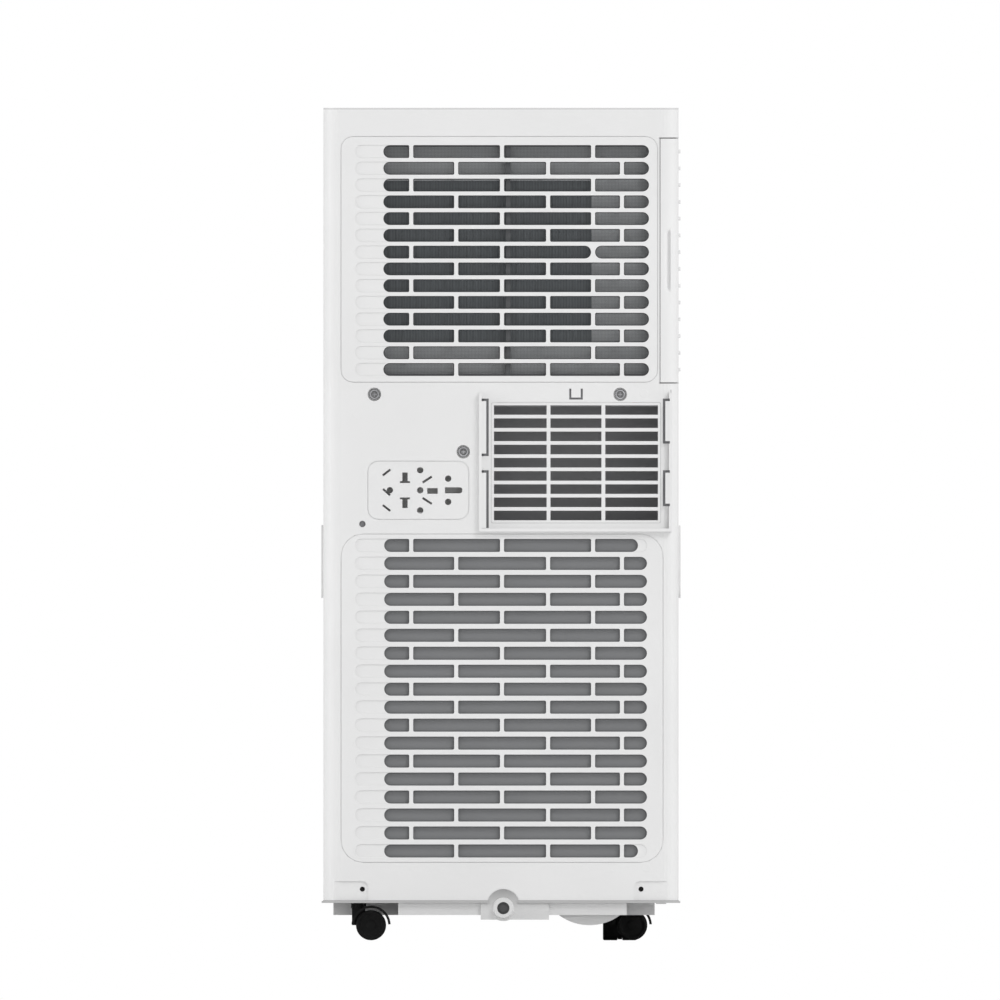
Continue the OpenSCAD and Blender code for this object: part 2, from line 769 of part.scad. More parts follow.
module control_fascia() {
    color("black") difference() {
        slab_z(body_h - fascia_t, body_h)
            rounded(-fascia_x + fit, fascia_x - fit, fascia_y0 + fit, fascia_y1 - fit, fascia_r - fit);
        for (k = [-2:2])
            rod_z(k * button_step, button_y, body_h - fascia_t - 1, body_h + 1, button_r + loose_fit);
        slab_z(body_h - window_t, body_h + 1) rounded(-window_x, window_x, window_y0, window_y1, 2);
        slab_z(body_h - fascia_t - 1, body_h)
            rounded(-window_x + 2, window_x - 2, window_y0 + 2, window_y1 - 2, 1);
    }
}

module display_window() {
    color("darkslategray") slab_z(body_h - window_t, body_h)
        rounded(-window_x + 0.1, window_x - 0.1, window_y0 + 0.1, window_y1 - 0.1, 2);
}

module control_board() {
    x = fascia_x - fascia_ledge - 3;
    color("darkgreen") {
        box(-x, x, fascia_y0 + 6, fascia_y1 - 6, board_z, board_z + board_t);
        for (k = [-2:2])
            rod_z(k * button_step, button_y, board_z + board_t - 0.1, board_z + board_t + switch_h, 3);
    }
}

module button(k) {
    flange_z1 = body_h - fascia_t - loose_fit;
    stem_z0 = board_z + board_t + switch_h + button_travel + 0.2;
    color("gainsboro") union() {
        rod_z(k * button_step, button_y, flange_z1 - 0.5, body_h - 0.2, button_r);
        rod_z(k * button_step, button_y, flange_z1 - button_flange, flange_z1, button_r + 1.3);
        rod_z(k * button_step, button_y, stem_z0, flange_z1 - 0.5, 2);
    }
}

// ---- Air outlet ----

module outlet_frame() {
    x = outlet_w / 2;
    color("gainsboro") difference() {
        intersection() {
            slab_y(outlet_back_y, front_y) difference() {
                outlet_outline(outlet_wall);
                outlet_outline(0);
            }
            slab_z(outlet_z0 - 10, outlet_z1 + 10) polygon(plan(0));
        }
        rod_x(flap_y, flap_z, -x - outlet_wall - 1, x + outlet_wall + 1, flap_pin_r + run_fit);
        for (k = [0:vane_count - 1])
            rod_z(vane_x(k), vane_y, outlet_z0 - outlet_wall - 1, outlet_z1 + outlet_wall + 1,
                vane_pin_r + run_fit);
    }
}

module outlet_flap() {
    x = outlet_w / 2 - flap_gap;
    pin_end = outlet_w / 2 + outlet_wall;
    color("whitesmoke") union() {
        slab_x(-x, x) rounded(flap_y - flap_t / 2, flap_y + flap_t / 2, flap_z, outlet_z1 - flap_gap, 1.2);
        rod_x(flap_y, flap_z, -x, x, 3.4);
        rod_x(flap_y, flap_z, -pin_end, -x + 1, flap_pin_r);
        rod_x(flap_y, flap_z, x - 1, pin_end + 5, flap_pin_r);
    }
}

module flap_motor() {
    x0 = outlet_w / 2 + outlet_wall + loose_fit;
    color("silver") difference() {
        union() {
            rod_x(flap_y - motor_offset, flap_z, x0, x0 + motor_t, motor_r);
            rod_x(flap_y, flap_z, x0, x0 + motor_t - 2, flap_pin_r + 1.2);
        }
        rod_x(flap_y, flap_z, x0 - 1, x0 + 5.5, flap_pin_r + run_fit);
    }
}

function vane_x(k) = (k - (vane_count - 1) / 2) * vane_step;

module vane(k) {
    z0 = outlet_z0 + 1.5;
    z1 = outlet_z1 - 1.5;
    notch = link_t / 2 + 1.5;
    crank_y = vane_y - vane_arm;
    color("whitesmoke") translate([vane_x(k), 0, 0]) union() {
        difference() {
            box(-vane_t / 2, vane_t / 2, vane_y - vane_reach, vane_y + vane_reach, z0, z1);
            box(-vane_t, vane_t, vane_y - vane_reach - 1, vane_y - vane_arm + 4,
                link_z - notch, link_z + notch);
        }
        rod_z(0, vane_y, outlet_z0 - outlet_wall + 0.5, outlet_z1 + outlet_wall - 0.5, vane_pin_r);
        rod_z(0, crank_y, link_z - notch - 1, link_z + notch + 1, crank_r);
    }
}

module vane_link() {
    slack = 0.5;
    x_end = vane_x(vane_count - 1) + 6;
    color("gainsboro") difference() {
        box(-x_end, x_end, link_y0, link_y1, link_z - link_t / 2, link_z + link_t / 2);
        for (k = [0:vane_count - 1])
            translate([vane_x(k) - crank_r - slack, vane_y - vane_arm - crank_r - slack, link_z - link_t])
                cube([2 * (crank_r + slack), 12, 2 * link_t]);
    }
}

// ---- Base tray and drain ----

// Underside of the tray between the castor bays, moved inwards by inset
module tray_plan(inset) {
    bay = swing_r + inset;
    difference() {
        intersection() {
            polygon(plan(tray_inset + inset));
            translate([tray_x0 + inset, rear_y]) square([tray_x1 - tray_x0 - 2 * inset, body_d + bow]);
        }
        translate([-half_w, rear_y]) square([rl_bay_w + inset, rl_stem[1] + bay - rear_y]);
        translate([-half_w, fl_stem[1] - bay]) square([half_w + fl_stem[0] + bay, half_d]);
        translate([fr_stem[0] - bay, fr_stem[1] - bay]) square([half_w, half_d]);
        translate([rr_stem[0] - bay, rr_stem[1] - bay]) square([half_w, 2 * bay]);
        translate([rear_cut_x - inset, rear_y]) square([half_w, rear_cut_y + inset - rear_y]);
    }
}

// The sump's channel up to z1, moved inwards by inset
module sump_channel(inset, z1) {
    intersection() {
        rod_y(sump_x, tray_z0 - sump_drop + sump_r, sump_y0 + inset, sump_y1 - inset, sump_r - inset);
        box(-half_w, half_w, rear_y, half_d, 0, z1);
    }
}

module base_tray() {
    floor_z = tray_z0 + tray_floor;
    color("darkgray") difference() {
        union() {
            slab_z(tray_z0, deck_z + 0.1) tray_plan(0);
            slab_z(deck_z, panel_z0) difference() {
                polygon(plan(-1.2));
                translate([-body_w, front_y]) square([2 * body_w, through]);
                translate([drain_x - drain_arch_r, rear_y - through]) square([2 * drain_arch_r, through]);
            }
            slab_z(panel_z0 - 0.1, tray_rim_z) difference() {
                polygon(plan(tray_inset));
                polygon(plan(tray_inset + tray_wall));
            }
            for (p = [rl_stem, rr_stem, fl_stem, fr_stem])
                rod_z(p[0], p[1], deck_z, deck_z + stem_len + 3, stem_boss_r);
            sump_channel(0, tray_z0 + 1);
            box(lug_x0, lug_x1, rear_y + 3, rear_y + 10, deck_z - 1, deck_z + 0.1);
            box(drain_block_x0, drain_block_x1, rear_y, drain_block_y1,
                tray_z0 - drain_block_drop, panel_z0 - 0.5);
            rod_y(drain_x, drain_arch_z, rear_y, drain_block_y1, drain_arch_r - fit);
            rod_y(drain_x, drain_z, rear_y - rail_proud, rear_y + 1, spout_r);
        }
        difference() {
            slab_z(floor_z, panel_z0 + 1) tray_plan(tray_wall);
            box(drain_block_x0 - 1, drain_block_x1 + 1, rear_y, drain_block_y1 - 2, floor_z, panel_z0 + 2);
        }
        sump_channel(tray_wall, floor_z + 1);
        rod_y(drain_x, drain_z, rear_y - rail_proud - 1, drain_block_y1 + 1, spout_bore_r);
        for (p = [rl_stem, rr_stem, fl_stem, fr_stem])
            rod_z(p[0], p[1], deck_z - 1, deck_z + stem_len + 0.5, stem_r + run_fit);
        for (p = foot_screws)
            rod_y(p[0], p[1], rear_y, rear_y + tray_inset + tray_wall + 1, screw_r + run_fit);
    }
}

module drain_plug() {
    y0 = rear_y - rail_proud + plug_back;
    color("dimgray") union() {
        rod_y(drain_x, drain_z, y0, y0 + plug_len, spout_bore_r - run_fit);
        rod_y(drain_x, drain_z, y0 - 1, y0 + 0.5, spout_bore_r - 2);
    }
}

// ---- Castors ----

// Places a castor built at the origin, its wheels trailing towards +X before the turn
module at_castor(stem, turn) {
    translate([stem[0], stem[1], 0]) rotate([0, 0, turn]) children();
}

module castor_fork() {
    hood_y = wheel_pair_w / 2 - 0.8;
    color("dimgray") difference() {
        union() {
            difference() {
                rod_y(castor_trail, wheel_r, -hood_y, hood_y, hood_out);
                rod_y(castor_trail, wheel_r, -hood_y - 1, hood_y + 1, hood_in);
                box(-50, 50, -50, 50, -10, wheel_r + 0.7);
            }
            rod_y(castor_trail, wheel_r, -web_t / 2, web_t / 2, wheel_r - web_lift);
            box(0, castor_trail, -web_t / 2, web_t / 2, wheel_r, wheel_r + 9);
            intersection() {
                box(-neck_w / 2, neck_w / 2, -neck_w / 2, neck_w / 2, wheel_r, castor_h);
                union() {
                    box(-neck_w, neck_w, -web_t / 2, web_t / 2, 0, castor_h);
                    box(-neck_w, neck_w, -neck_w, neck_w, wheel_r + hood_in - 5, castor_h);
                    box(-neck_w, castor_trail - hood_in + 1, -neck_w, neck_w, 0, castor_h);
                }
            }
            rod_z(0, 0, castor_h - 4, castor_h, neck_w / 2 + 0.8);
            rod_z(0, 0, castor_h - 1, deck_z + stem_len, stem_r);
        }
        for (side = [-1, 1])
            rod_y(castor_trail, wheel_r, min(side * web_t / 2, side * wheel_pair_w),
                max(side * web_t / 2, side * wheel_pair_w), wheel_r + 0.9);
        rod_y(castor_trail, wheel_r, -50, 50, axle_r + run_fit);
    }
}

module castor_wheels() {
    color("black") for (side = [0, 1]) mirror([0, side, 0]) difference() {
        y0 = web_t / 2 + wheel_gap;
        y1 = wheel_pair_w / 2;
        rod_y(castor_trail, wheel_r, y0, y1, wheel_r);
        rod_y(castor_trail, wheel_r, y1 - wheel_dish, y1 + 1, wheel_r - 3.2);
        rod_y(castor_trail, wheel_r, y0 - 1, y1 - wheel_dish - wheel_cap, axle_r);
    }
}

module castor_axle() {
    half = wheel_pair_w / 2 - wheel_dish - wheel_cap - loose_fit;
    color("silver") rod_y(castor_trail, wheel_r, -half, half, axle_r);
}

// ---- Cooling half ----

module partition() {
    plan_in = wall + 3;
    front = half_d - 20;
    color("gainsboro") difference() {
        union() {
            slab_z(partition_z, partition_z + partition_t) intersection() {
                polygon(plan(plan_in));
                translate([-half_w, rear_y + 14]) square([body_w, body_d - 14 - 20]);
            }
            difference() {
                box(coil_x0 - 8, coil_x1 + 8, coil_y0, coil_y0 + coil_deep + 4,
                    partition_z + 1, partition_z + pan_h);
                box(coil_x0 - 6, coil_x1 + 6, coil_y0 + 2, coil_y0 + coil_deep + 2,
                    partition_z + partition_t, partition_z + pan_h + 1);
            }
        }
        rod_z(half_w - 40, front - 60, partition_z - 1, partition_z + partition_t + 1, 12);
    }
}

module coil(x0, x1, y0, deep, z0, z1) {
    plate = 1.2;
    flute = 3;
    count = floor((x1 - x0 - 2 * flute) / (2 * flute));
    slab_z(z0, z1) difference() {
        translate([x0, y0]) square([x1 - x0, deep]);
        for (i = [0:count - 1], side = [0, 1])
            translate([x0 + flute + 2 * flute * i, side == 0 ? y0 - plate : y0 + deep - plate])
                square([flute, 2 * plate]);
    }
}

// Return bends on one end of a coil
module bends(x, dir, y, z0, z1) {
    count = floor((z1 - z0 - 2 * tube_r) / (4 * bend_r));
    for (i = [0:count - 1])
        translate([x, y, z0 + tube_r + bend_r * (1 + dir * 0.5 + 0.5) + 4 * bend_r * i + 2])
            rotate([90, 0, 0]) rotate([0, 0, dir > 0 ? -90 : 90])
                rotate_extrude(angle = 180, $fn = 40) translate([bend_r, 0]) circle(r = tube_r, $fn = 24);
}

module evaporator() {
    color("silver")
        coil(coil_x0 - coil_lap, coil_x1 + coil_lap, coil_y0, coil_deep,
            coil_z0 - coil_lap, coil_z1 + coil_lap);
}

module evaporator_bends() {
    y = coil_y0 + coil_deep / 2;
    color("peru") {
        bends(coil_x0 - coil_lap, -1, y, coil_z0, coil_z1);
        bends(coil_x1 + coil_lap, 1, y, coil_z0, coil_z1);
    }
}

// Volute outline: a growing spiral with a straight throat on its +X side, moved inwards by inset
module volute(cx, cz, r0, r1, throat_z, inset) {
    tongue_x = cx + r0 * cos(tongue_angle);
    polygon(concat(spiral_points(cx, cz, r0 - inset, r1 - inset, tongue_angle, 360, 40),
        [[cx + r1 - inset, throat_z], [tongue_x + inset, throat_z]]));
}

module cool_scroll() {
    y1 = cool_y0 + cool_deep;
    duct_x = outlet_w / 2 + outlet_wall - 1;
    bend_room = coil_lap + bend_r + tube_r + casing_t + 1;
    color("lightgray") difference() {
        union() {
            slab_y(cool_y0, y1) volute(cool_x, cool_z, cool_r0, cool_r1, duct_z1, 0);
            box(-duct_x, duct_x, y1 - casing_t, duct_y1, duct_z0, duct_z1);
            slab_y(shroud_y, shroud_y + shroud_t)
                rounded(upper_x0 + 1, upper_x1 - 2, upper_z0 + 2, upper_z1 - 2, upper_r);
            box(coil_x0 - bend_room, coil_x1 + bend_room, shroud_y, cool_y0 + casing_t,
                coil_z0 - coil_lap - casing_t - 0.5, coil_z1 + coil_lap + casing_t + 0.5);
        }
        box(coil_x0 - bend_room + casing_t, coil_x1 + bend_room - casing_t, shroud_y + shroud_t, cool_y0,
            coil_z0 - coil_lap - 0.5, coil_z1 + coil_lap + 0.5);
        box(coil_x0, coil_x1, shroud_y - 1, shroud_y + shroud_t + 1, coil_z0, coil_z1);
        slab_y(cool_y0 + casing_t, y1 - casing_t)
            volute(cool_x, cool_z, cool_r0, cool_r1, duct_z1 - casing_t, casing_t);
        box(-duct_x + casing_t, duct_x - casing_t, y1, duct_y1 + 1, duct_z0 + casing_t, duct_z1 - casing_t);
        box(cool_x + cool_r0 / 2 + 2 * casing_t, cool_x + cool_r1 - 2 * casing_t, y1 - casing_t - 1, y1 + 1,
            duct_z0 + 2 * casing_t, duct_z1 - 2 * casing_t);
        rod_y(cool_x, cool_z, cool_y0 - 1, cool_y0 + casing_t + 1, cool_wheel_r - 8);
        rod_y(cool_x, cool_z, y1 - casing_t - 1, y1 + 1, shaft_r + 6);
    }
}

// Squirrel-cage wheel with its shaft, from y0 to y1
module fan_wheel(cx, cz, y0, y1, r) {
    plate = 2;
    ring = 4;
    color("dimgray") translate([cx, 0, cz]) union() {
        rod_y(0, 0, y1 - plate, y1, r);
        slab_y(y0, y0 + ring) difference() {
            circle(r = r, $fn = 90);
            circle(r = r - blade_deep - 1, $fn = 90);
        }
        slab_y(y0 + 1, y1 - 1) for (i = [0:blade_count - 1])
            rotate(i * 360 / blade_count) translate([r - blade_deep, 0]) rotate(24)
                square([blade_deep - 1.4, blade_t]);
        rod_y(0, 0, y1 - 18, y1, 12);
        rod_y(0, 0, y1 - 1, y1 + shaft_reach, shaft_r);
    }
}

module fan_motor(cx, cz, y0) {
    rim = 2;
    color("gray") translate([cx, 0, cz]) difference() {
        union() {
            rod_y(0, 0, y0 + 3, y0 + motor_len, motor_body_r);
            rod_y(0, 0, y0 + 12, y0 + 22, motor_body_r + rim);
            rod_y(0, 0, y0, y0 + 4, 14);
        }
        rod_y(0, 0, y0 - 1, y0 + shaft_reach, shaft_r + run_fit);
    }
}

module cool_wheel() {
    fan_wheel(cool_x, cool_z, cool_y0 + casing_t + 3, cool_y0 + cool_deep - casing_t - 3, cool_wheel_r);
}

module cool_motor() {
    fan_motor(cool_x, cool_z, cool_y0 + cool_deep + loose_fit);
}

// ---- Heat-rejection half ----

module condenser() {
    color("silver") coil(-heat_coil_x, heat_coil_x, heat_coil_y0, heat_coil_deep, heat_coil_z0, heat_coil_z1);
}

module condenser_bends() {
    color("peru") {
        bends(-heat_coil_x, -1, heat_coil_y0 + heat_coil_deep / 2, heat_coil_z0, heat_coil_z1);
        bends(heat_coil_x, 1, heat_coil_y0 + heat_coil_deep / 2, heat_coil_z0, heat_coil_z1);
    }
}

module heat_scroll() {
    y1 = heat_y0 + heat_deep;
    duct_z0 = exhaust_z0 + 2;
    duct_y0 = rear_y + wall + loose_fit;
    throat_x0 = heat_x + heat_r0 * cos(tongue_angle);
    color("lightgray") difference() {
        union() {
            slab_y(heat_y0, y1) volute(heat_x, heat_z, heat_r0, heat_r1, duct_z0 + 1, 0);
            box(heat_duct_x0, heat_duct_x1, duct_y0, y1, duct_z0, heat_duct_z1);
        }
        slab_y(heat_y0 + casing_t, y1 - casing_t)
            volute(heat_x, heat_z, heat_r0, heat_r1, duct_z0 + casing_t + 1, casing_t);
        box(heat_duct_x0 + casing_t, heat_duct_x1 - casing_t, duct_y0 - 1, y1 - casing_t,
            duct_z0 + casing_t, heat_duct_z1 - casing_t);
        rod_y(heat_x, heat_z, heat_y0 - 1, heat_y0 + casing_t + 1, heat_wheel_r - 8);
        rod_y(heat_x, heat_z, y1 - casing_t - 1, y1 + 1, shaft_r + 6);
    }
}

module heat_wheel() {
    fan_wheel(heat_x, heat_z, heat_y0 + casing_t + 3, heat_y0 + heat_deep - casing_t - 3, heat_wheel_r);
}

module heat_motor() {
    fan_motor(heat_x, heat_z, heat_y0 + heat_deep + loose_fit);
}

// ---- Refrigerant circuit and electrics ----

module compressor_feet() {
    floor_z = tray_z0 + tray_floor;
    color("dimgray") for (a = [90, 210, 330])
        rod_z(comp_x + 40 * cos(a), comp_y + 40 * sin(a), floor_z, floor_z + comp_foot_h, 9);
}

module compressor() {
    z0 = tray_z0 + tray_floor + comp_foot_h;
    dome = 20;
    cap_r = 21;
    cap_x = comp_x - comp_r - cap_r - 3;
    outlet_off = 14;
    profile = concat([[0, 0]], [[comp_r - 4, 0], [comp_r, 6]], [[comp_r, comp_h - dome]],
        [for (i = [1:6]) [comp_r * cos(15 * i), comp_h - dome + dome * sin(15 * i)]]);
    color("black") union() {
        translate([comp_x, comp_y, z0 + 2]) rotate_extrude($fn = 64) polygon(profile);
        rod_z(comp_x, comp_y, z0, z0 + 3, comp_r - 2);
        rod_z(cap_x, comp_y, z0 + 50, z0 + 170, cap_r);
        rod_z(cap_x, comp_y, z0 + 168, z0 + 182, 6);
        rod_z(comp_x + outlet_off, comp_y, z0 + comp_h - 12, z0 + comp_h + 4, pipe_r);
        box(cap_x, comp_x, comp_y - 8, comp_y + 8, z0 + 90, z0 + 104);
    }
}

function unit(v) = v / norm(v);
function blend_point(a, b, c, d, t) =
    0.5 * ((2 * b) + (c - a) * t + (2 * a - 5 * b + 4 * c - d) * t * t + (3 * b - a - 3 * c + d) * t * t * t);
function smooth_path(p) = concat(
    [for (i = [0:len(p) - 2], s = [0:pipe_steps - 1])
        blend_point(p[max(i - 1, 0)], p[i], p[i + 1], p[min(i + 2, len(p) - 1)], s / pipe_steps)],
    [p[len(p) - 1]]
);

// Tube of radius r along a list of points
module tube(path, r) {
    n = len(path);
    side_hint = [0.31, 0.17, 0.93];
    points = [for (i = [0:n - 1])
        let (t = unit(path[min(i + 1, n - 1)] - path[max(i - 1, 0)]))
        let (u = unit(cross(t, side_hint)), v = cross(t, u))
        for (k = [0:pipe_sides - 1])
            path[i] + r * (cos(360 * k / pipe_sides) * u + sin(360 * k / pipe_sides) * v)];
    sides = [for (i = [0:n - 2], k = [0:pipe_sides - 1])
        let (k2 = (k + 1) % pipe_sides)
        [i * pipe_sides + k, i * pipe_sides + k2, (i + 1) * pipe_sides + k2, (i + 1) * pipe_sides + k]];
    start = [for (k = [pipe_sides - 1:-1:0]) k];
    end = [for (k = [0:pipe_sides - 1]) (n - 1) * pipe_sides + k];
    polyhedron(points, concat(sides, [start], [end]), convexity = 4);
}

module refrigerant_pipes() {
    top_z = tray_z0 + tray_floor + comp_foot_h + comp_h + 2;
    hole_x = half_w - 40;
    hole_y = half_d - 80;
    heat_end = heat_coil_x - 14;
    heat_y = heat_coil_y0 + heat_coil_deep;
    discharge = [
        [comp_x + 14, comp_y, top_z + 2], [comp_x + 14, comp_y, top_z + 24],
        [comp_x + 50, comp_y - 10, top_z + 34],
        [heat_end, 40, top_z + 10], [heat_end, -30, top_z - 10], [heat_end, heat_y + 18, top_z - 14],
        [heat_end, heat_y + 0.2, top_z - 14]
    ];
    suction = [
        [hole_x + 4, hole_y, partition_z + 60], [hole_x + 4, hole_y, partition_z - 20],
        [hole_x - 10, hole_y + 10, partition_z - 70], [comp_x + 20, comp_y + 24, top_z + 60],
        [comp_x - comp_r - 24, comp_y + 14, top_z + 30], [comp_x - comp_r - 24, comp_y, top_z - 10],
        [comp_x - comp_r - 24, comp_y, top_z - comp_h + 181]
    ];
    color("peru") {
        tube(smooth_path(discharge), pipe_r);
        tube(smooth_path(suction), pipe_r + 1);
    }
}

module electrical_box() {
    x1 = heat_duct_x0 - 5;
    x0 = -half_w + 12;
    y0 = rear_y + wall + plug_pocket + 6;
    z0 = exhaust_z0 + 9;
    z1 = partition_z - 12;
    deep = 92;
    color("gainsboro") union() {
        difference() {
            box(x0, x1, y0, y0 + deep, z0, z1);
            box(x0 + 2, x1 - 2, y0 + 2, y0 + deep - 2, z0 + 2, z1 + 1);
        }
        box(x0 + 10, x1 - 10, y0 + 10, y0 + deep - 10, z0 + 1, z0 + 6);
        rod_z(x0 + 34, y0 + 40, z0 + 1, z0 + 70, 18);
    }
}

rear_panel();
front_panel();
top_cover();
upper_grille();
lower_grille();
exhaust_grille();
plug_holder();
rear_screws();
left_handle();
right_handle();
filter_door();
filter_frame();
filter_mesh();
lower_screen();
control_fascia();
display_window();
control_board();
button(-2);  // button_power
button(-1);  // button_mode
button(0);  // button_speed
button(1);  // button_down
button(2);  // button_up
outlet_frame();
outlet_flap();
flap_motor();
vane_link();
vane(0);  // vane_1
vane(1);  // vane_2
vane(2);  // vane_3
vane(3);  // vane_4
vane(4);  // vane_5
base_tray();
drain_plug();
at_castor(rl_stem, 0) castor_fork();  // castor_rl_fork
at_castor(rl_stem, 0) castor_wheels();  // castor_rl_wheels
at_castor(rl_stem, 0) castor_axle();  // castor_rl_axle
at_castor(rr_stem, 0) castor_fork();  // castor_rr_fork
at_castor(rr_stem, 0) castor_wheels();  // castor_rr_wheels
at_castor(rr_stem, 0) castor_axle();  // castor_rr_axle
at_castor(fl_stem, 0) castor_fork();  // castor_fl_fork
at_castor(fl_stem, 0) castor_wheels();  // castor_fl_wheels
at_castor(fl_stem, 0) castor_axle();  // castor_fl_axle
at_castor(fr_stem, 270) castor_fork();  // castor_fr_fork
at_castor(fr_stem, 270) castor_wheels();  // castor_fr_wheels
at_castor(fr_stem, 270) castor_axle();  // castor_fr_axle
partition();
evaporator();
evaporator_bends();
cool_scroll();
cool_wheel();
cool_motor();
condenser();
condenser_bends();
heat_scroll();
heat_wheel();
heat_motor();
compressor();
compressor_feet();
refrigerant_pipes();
electrical_box();
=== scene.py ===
"""Looks of the portable air conditioner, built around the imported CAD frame. Lengths are in metres."""
import json
import math
import bmesh
import bpy
from mathutils import Matrix, Vector


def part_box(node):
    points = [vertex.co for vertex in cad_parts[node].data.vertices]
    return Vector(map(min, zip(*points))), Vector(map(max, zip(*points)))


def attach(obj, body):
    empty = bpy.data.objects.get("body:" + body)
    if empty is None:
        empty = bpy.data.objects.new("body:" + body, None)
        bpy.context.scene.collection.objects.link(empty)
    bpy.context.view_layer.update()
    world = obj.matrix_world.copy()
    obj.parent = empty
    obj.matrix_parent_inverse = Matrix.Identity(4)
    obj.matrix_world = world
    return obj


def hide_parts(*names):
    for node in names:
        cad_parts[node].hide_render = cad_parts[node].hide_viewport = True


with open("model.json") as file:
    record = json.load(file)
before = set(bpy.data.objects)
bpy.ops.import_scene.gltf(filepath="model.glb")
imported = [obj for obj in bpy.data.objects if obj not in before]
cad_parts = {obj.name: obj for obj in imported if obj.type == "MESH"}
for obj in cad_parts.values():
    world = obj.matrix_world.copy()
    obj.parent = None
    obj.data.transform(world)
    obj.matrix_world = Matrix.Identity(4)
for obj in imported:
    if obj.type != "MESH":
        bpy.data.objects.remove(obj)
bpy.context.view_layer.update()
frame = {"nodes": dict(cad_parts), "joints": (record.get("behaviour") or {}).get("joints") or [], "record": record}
MM = 0.001

# ---- Places, all from the frame ----

TOP_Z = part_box("top_cover")[1].z
REAR_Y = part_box("upper_grille")[0].y
HALF_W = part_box("front_panel")[1].x
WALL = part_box("upper_grille")[1].y - REAR_Y
SEAM = 0.5 * MM
JOINTS = {j["name"]: j for j in frame["joints"]}


# ---- Materials ----

def new_material(name):
    """A material with its nodes, links and main shader."""
    mat = bpy.data.materials.new(name)
    mat.use_nodes = True
    nodes, links = mat.node_tree.nodes, mat.node_tree.links
    return mat, nodes, links, nodes["Principled BSDF"]


def object_coords(nodes):
    return nodes.new("ShaderNodeTexCoord").outputs["Object"]


def noise(nodes, links, coords, scale, detail=3.0, rough=0.5):
    node = nodes.new("ShaderNodeTexNoise")
    node.inputs["Scale"].default_value = scale
    node.inputs["Detail"].default_value = detail
    node.inputs["Roughness"].default_value = rough
    links.new(coords, node.inputs["Vector"])
    return node.outputs["Fac"]


def rgba(value):
    return (*value, 1) if isinstance(value, tuple) else (value, value, value, 1)


def ramp(nodes, links, fac, low, high, start=0.3, end=0.7):
    """Maps a 0..1 value to a colour or grey between low and high."""
    node = nodes.new("ShaderNodeValToRGB")
    node.color_ramp.elements[0].position = start
    node.color_ramp.elements[1].position = end
    node.color_ramp.elements[0].color = rgba(low)
    node.color_ramp.elements[1].color = rgba(high)
    links.new(fac, node.inputs["Fac"])
    return node.outputs["Color"]


def bump(nodes, links, height, strength, distance, normal=None):
    node = nodes.new("ShaderNodeBump")
    node.inputs["Strength"].default_value = strength
    node.inputs["Distance"].default_value = distance
    links.new(height, node.inputs["Height"])
    if normal is not None:
        links.new(normal, node.inputs["Normal"])
    return node.outputs["Normal"]


def shade(colour, factor):
    return tuple(min(1.0, c * factor) for c in colour)


def plastic(name, colour, rough=0.42, grain=0.25, grain_size=0.0006, spread=0.02, specular=0.4, coat=0.0):
    """Moulded plastic: fine spark-eroded grain, slow flow variation and soft roughness changes."""
    mat, nodes, links, shader = new_material(name)
    coords = object_coords(nodes)
    flow = noise(nodes, links, coords, 9.0, 2.0)
    tint = ramp(nodes, links, flow, shade(colour, 1 - spread), shade(colour, 1 + spread))
    links.new(tint, shader.inputs["Base Color"])
    fine = noise(nodes, links, coords, 1 / grain_size, 2.0, 0.6)
    smear = noise(nodes, links, coords, 34.0, 3.0)
    links.new(ramp(nodes, links, smear, rough - 0.05, rough + 0.06), shader.inputs["Roughness"])
    links.new(bump(nodes, links, fine, grain, 0.00005), shader.inputs["Normal"])
    shader.inputs["Specular IOR Level"].default_value = specular
    shader.inputs["Coat Weight"].default_value = coat
    shader.inputs["Coat Roughness"].default_value = 0.08
    return mat


def metal(name, colour, rough=0.35, brush=(1, 1, 1), brush_scale=300.0, spread=0.1):
    """Metal with brushed or drawn streaks along the axis with the small brush factor."""
    mat, nodes, links, shader = new_material(name)
    coords = object_coords(nodes)
    mapping = nodes.new("ShaderNodeMapping")
    mapping.inputs["Scale"].default_value = brush
    links.new(coords, mapping.inputs["Vector"])
    streaks = noise(nodes, links, mapping.outputs["Vector"], brush_scale, 3.0)
    cloud = noise(nodes, links, coords, 40.0, 4.0)
    tint = ramp(nodes, links, cloud, shade(colour, 1 - spread), shade(colour, 1 + spread))
    links.new(tint, shader.inputs["Base Color"])
    links.new(ramp(nodes, links, streaks, rough - 0.1, rough + 0.12), shader.inputs["Roughness"])
    links.new(bump(nodes, links, streaks, 0.2, 0.00004), shader.inputs["Normal"])
    shader.inputs["Metallic"].default_value = 1.0
    return mat


def glow(name, colour, strength):
    """Lit indicator with a slightly uneven diffuser."""
    mat, nodes, links, shader = new_material(name)
    cloud = noise(nodes, links, object_coords(nodes), 900.0, 2.0)
    links.new(ramp(nodes, links, cloud, shade(colour, 0.7), colour), shader.inputs["Base Color"])
    shader.inputs["Emission Color"].default_value = (*colour, 1)
    shader.inputs["Emission Strength"].default_value = strength
    shader.inputs["Roughness"].default_value = 0.4
    return mat


def graded(name, low, high, low_z, high_z):
    """Grained plastic whose colour runs from low to high over a range of heights, used to paint shade that deepens
    with height.
    """
    mat, nodes, links, shader = new_material(name)
    coords = object_coords(nodes)
    split = nodes.new("ShaderNodeSeparateXYZ")
    links.new(coords, split.inputs[0])
    span = nodes.new("ShaderNodeMapRange")
    span.inputs["From Min"].default_value = low_z
    span.inputs["From Max"].default_value = high_z
    links.new(split.outputs["Z"], span.inputs["Value"])
    links.new(ramp(nodes, links, span.outputs["Result"], low, high, 0.0, 1.0), shader.inputs["Base Color"])
    fine = noise(nodes, links, coords, 1400.0, 2.0, 0.6)
    links.new(bump(nodes, links, fine, 0.25, 0.00005), shader.inputs["Normal"])
    shader.inputs["Roughness"].default_value = 0.55
    return mat


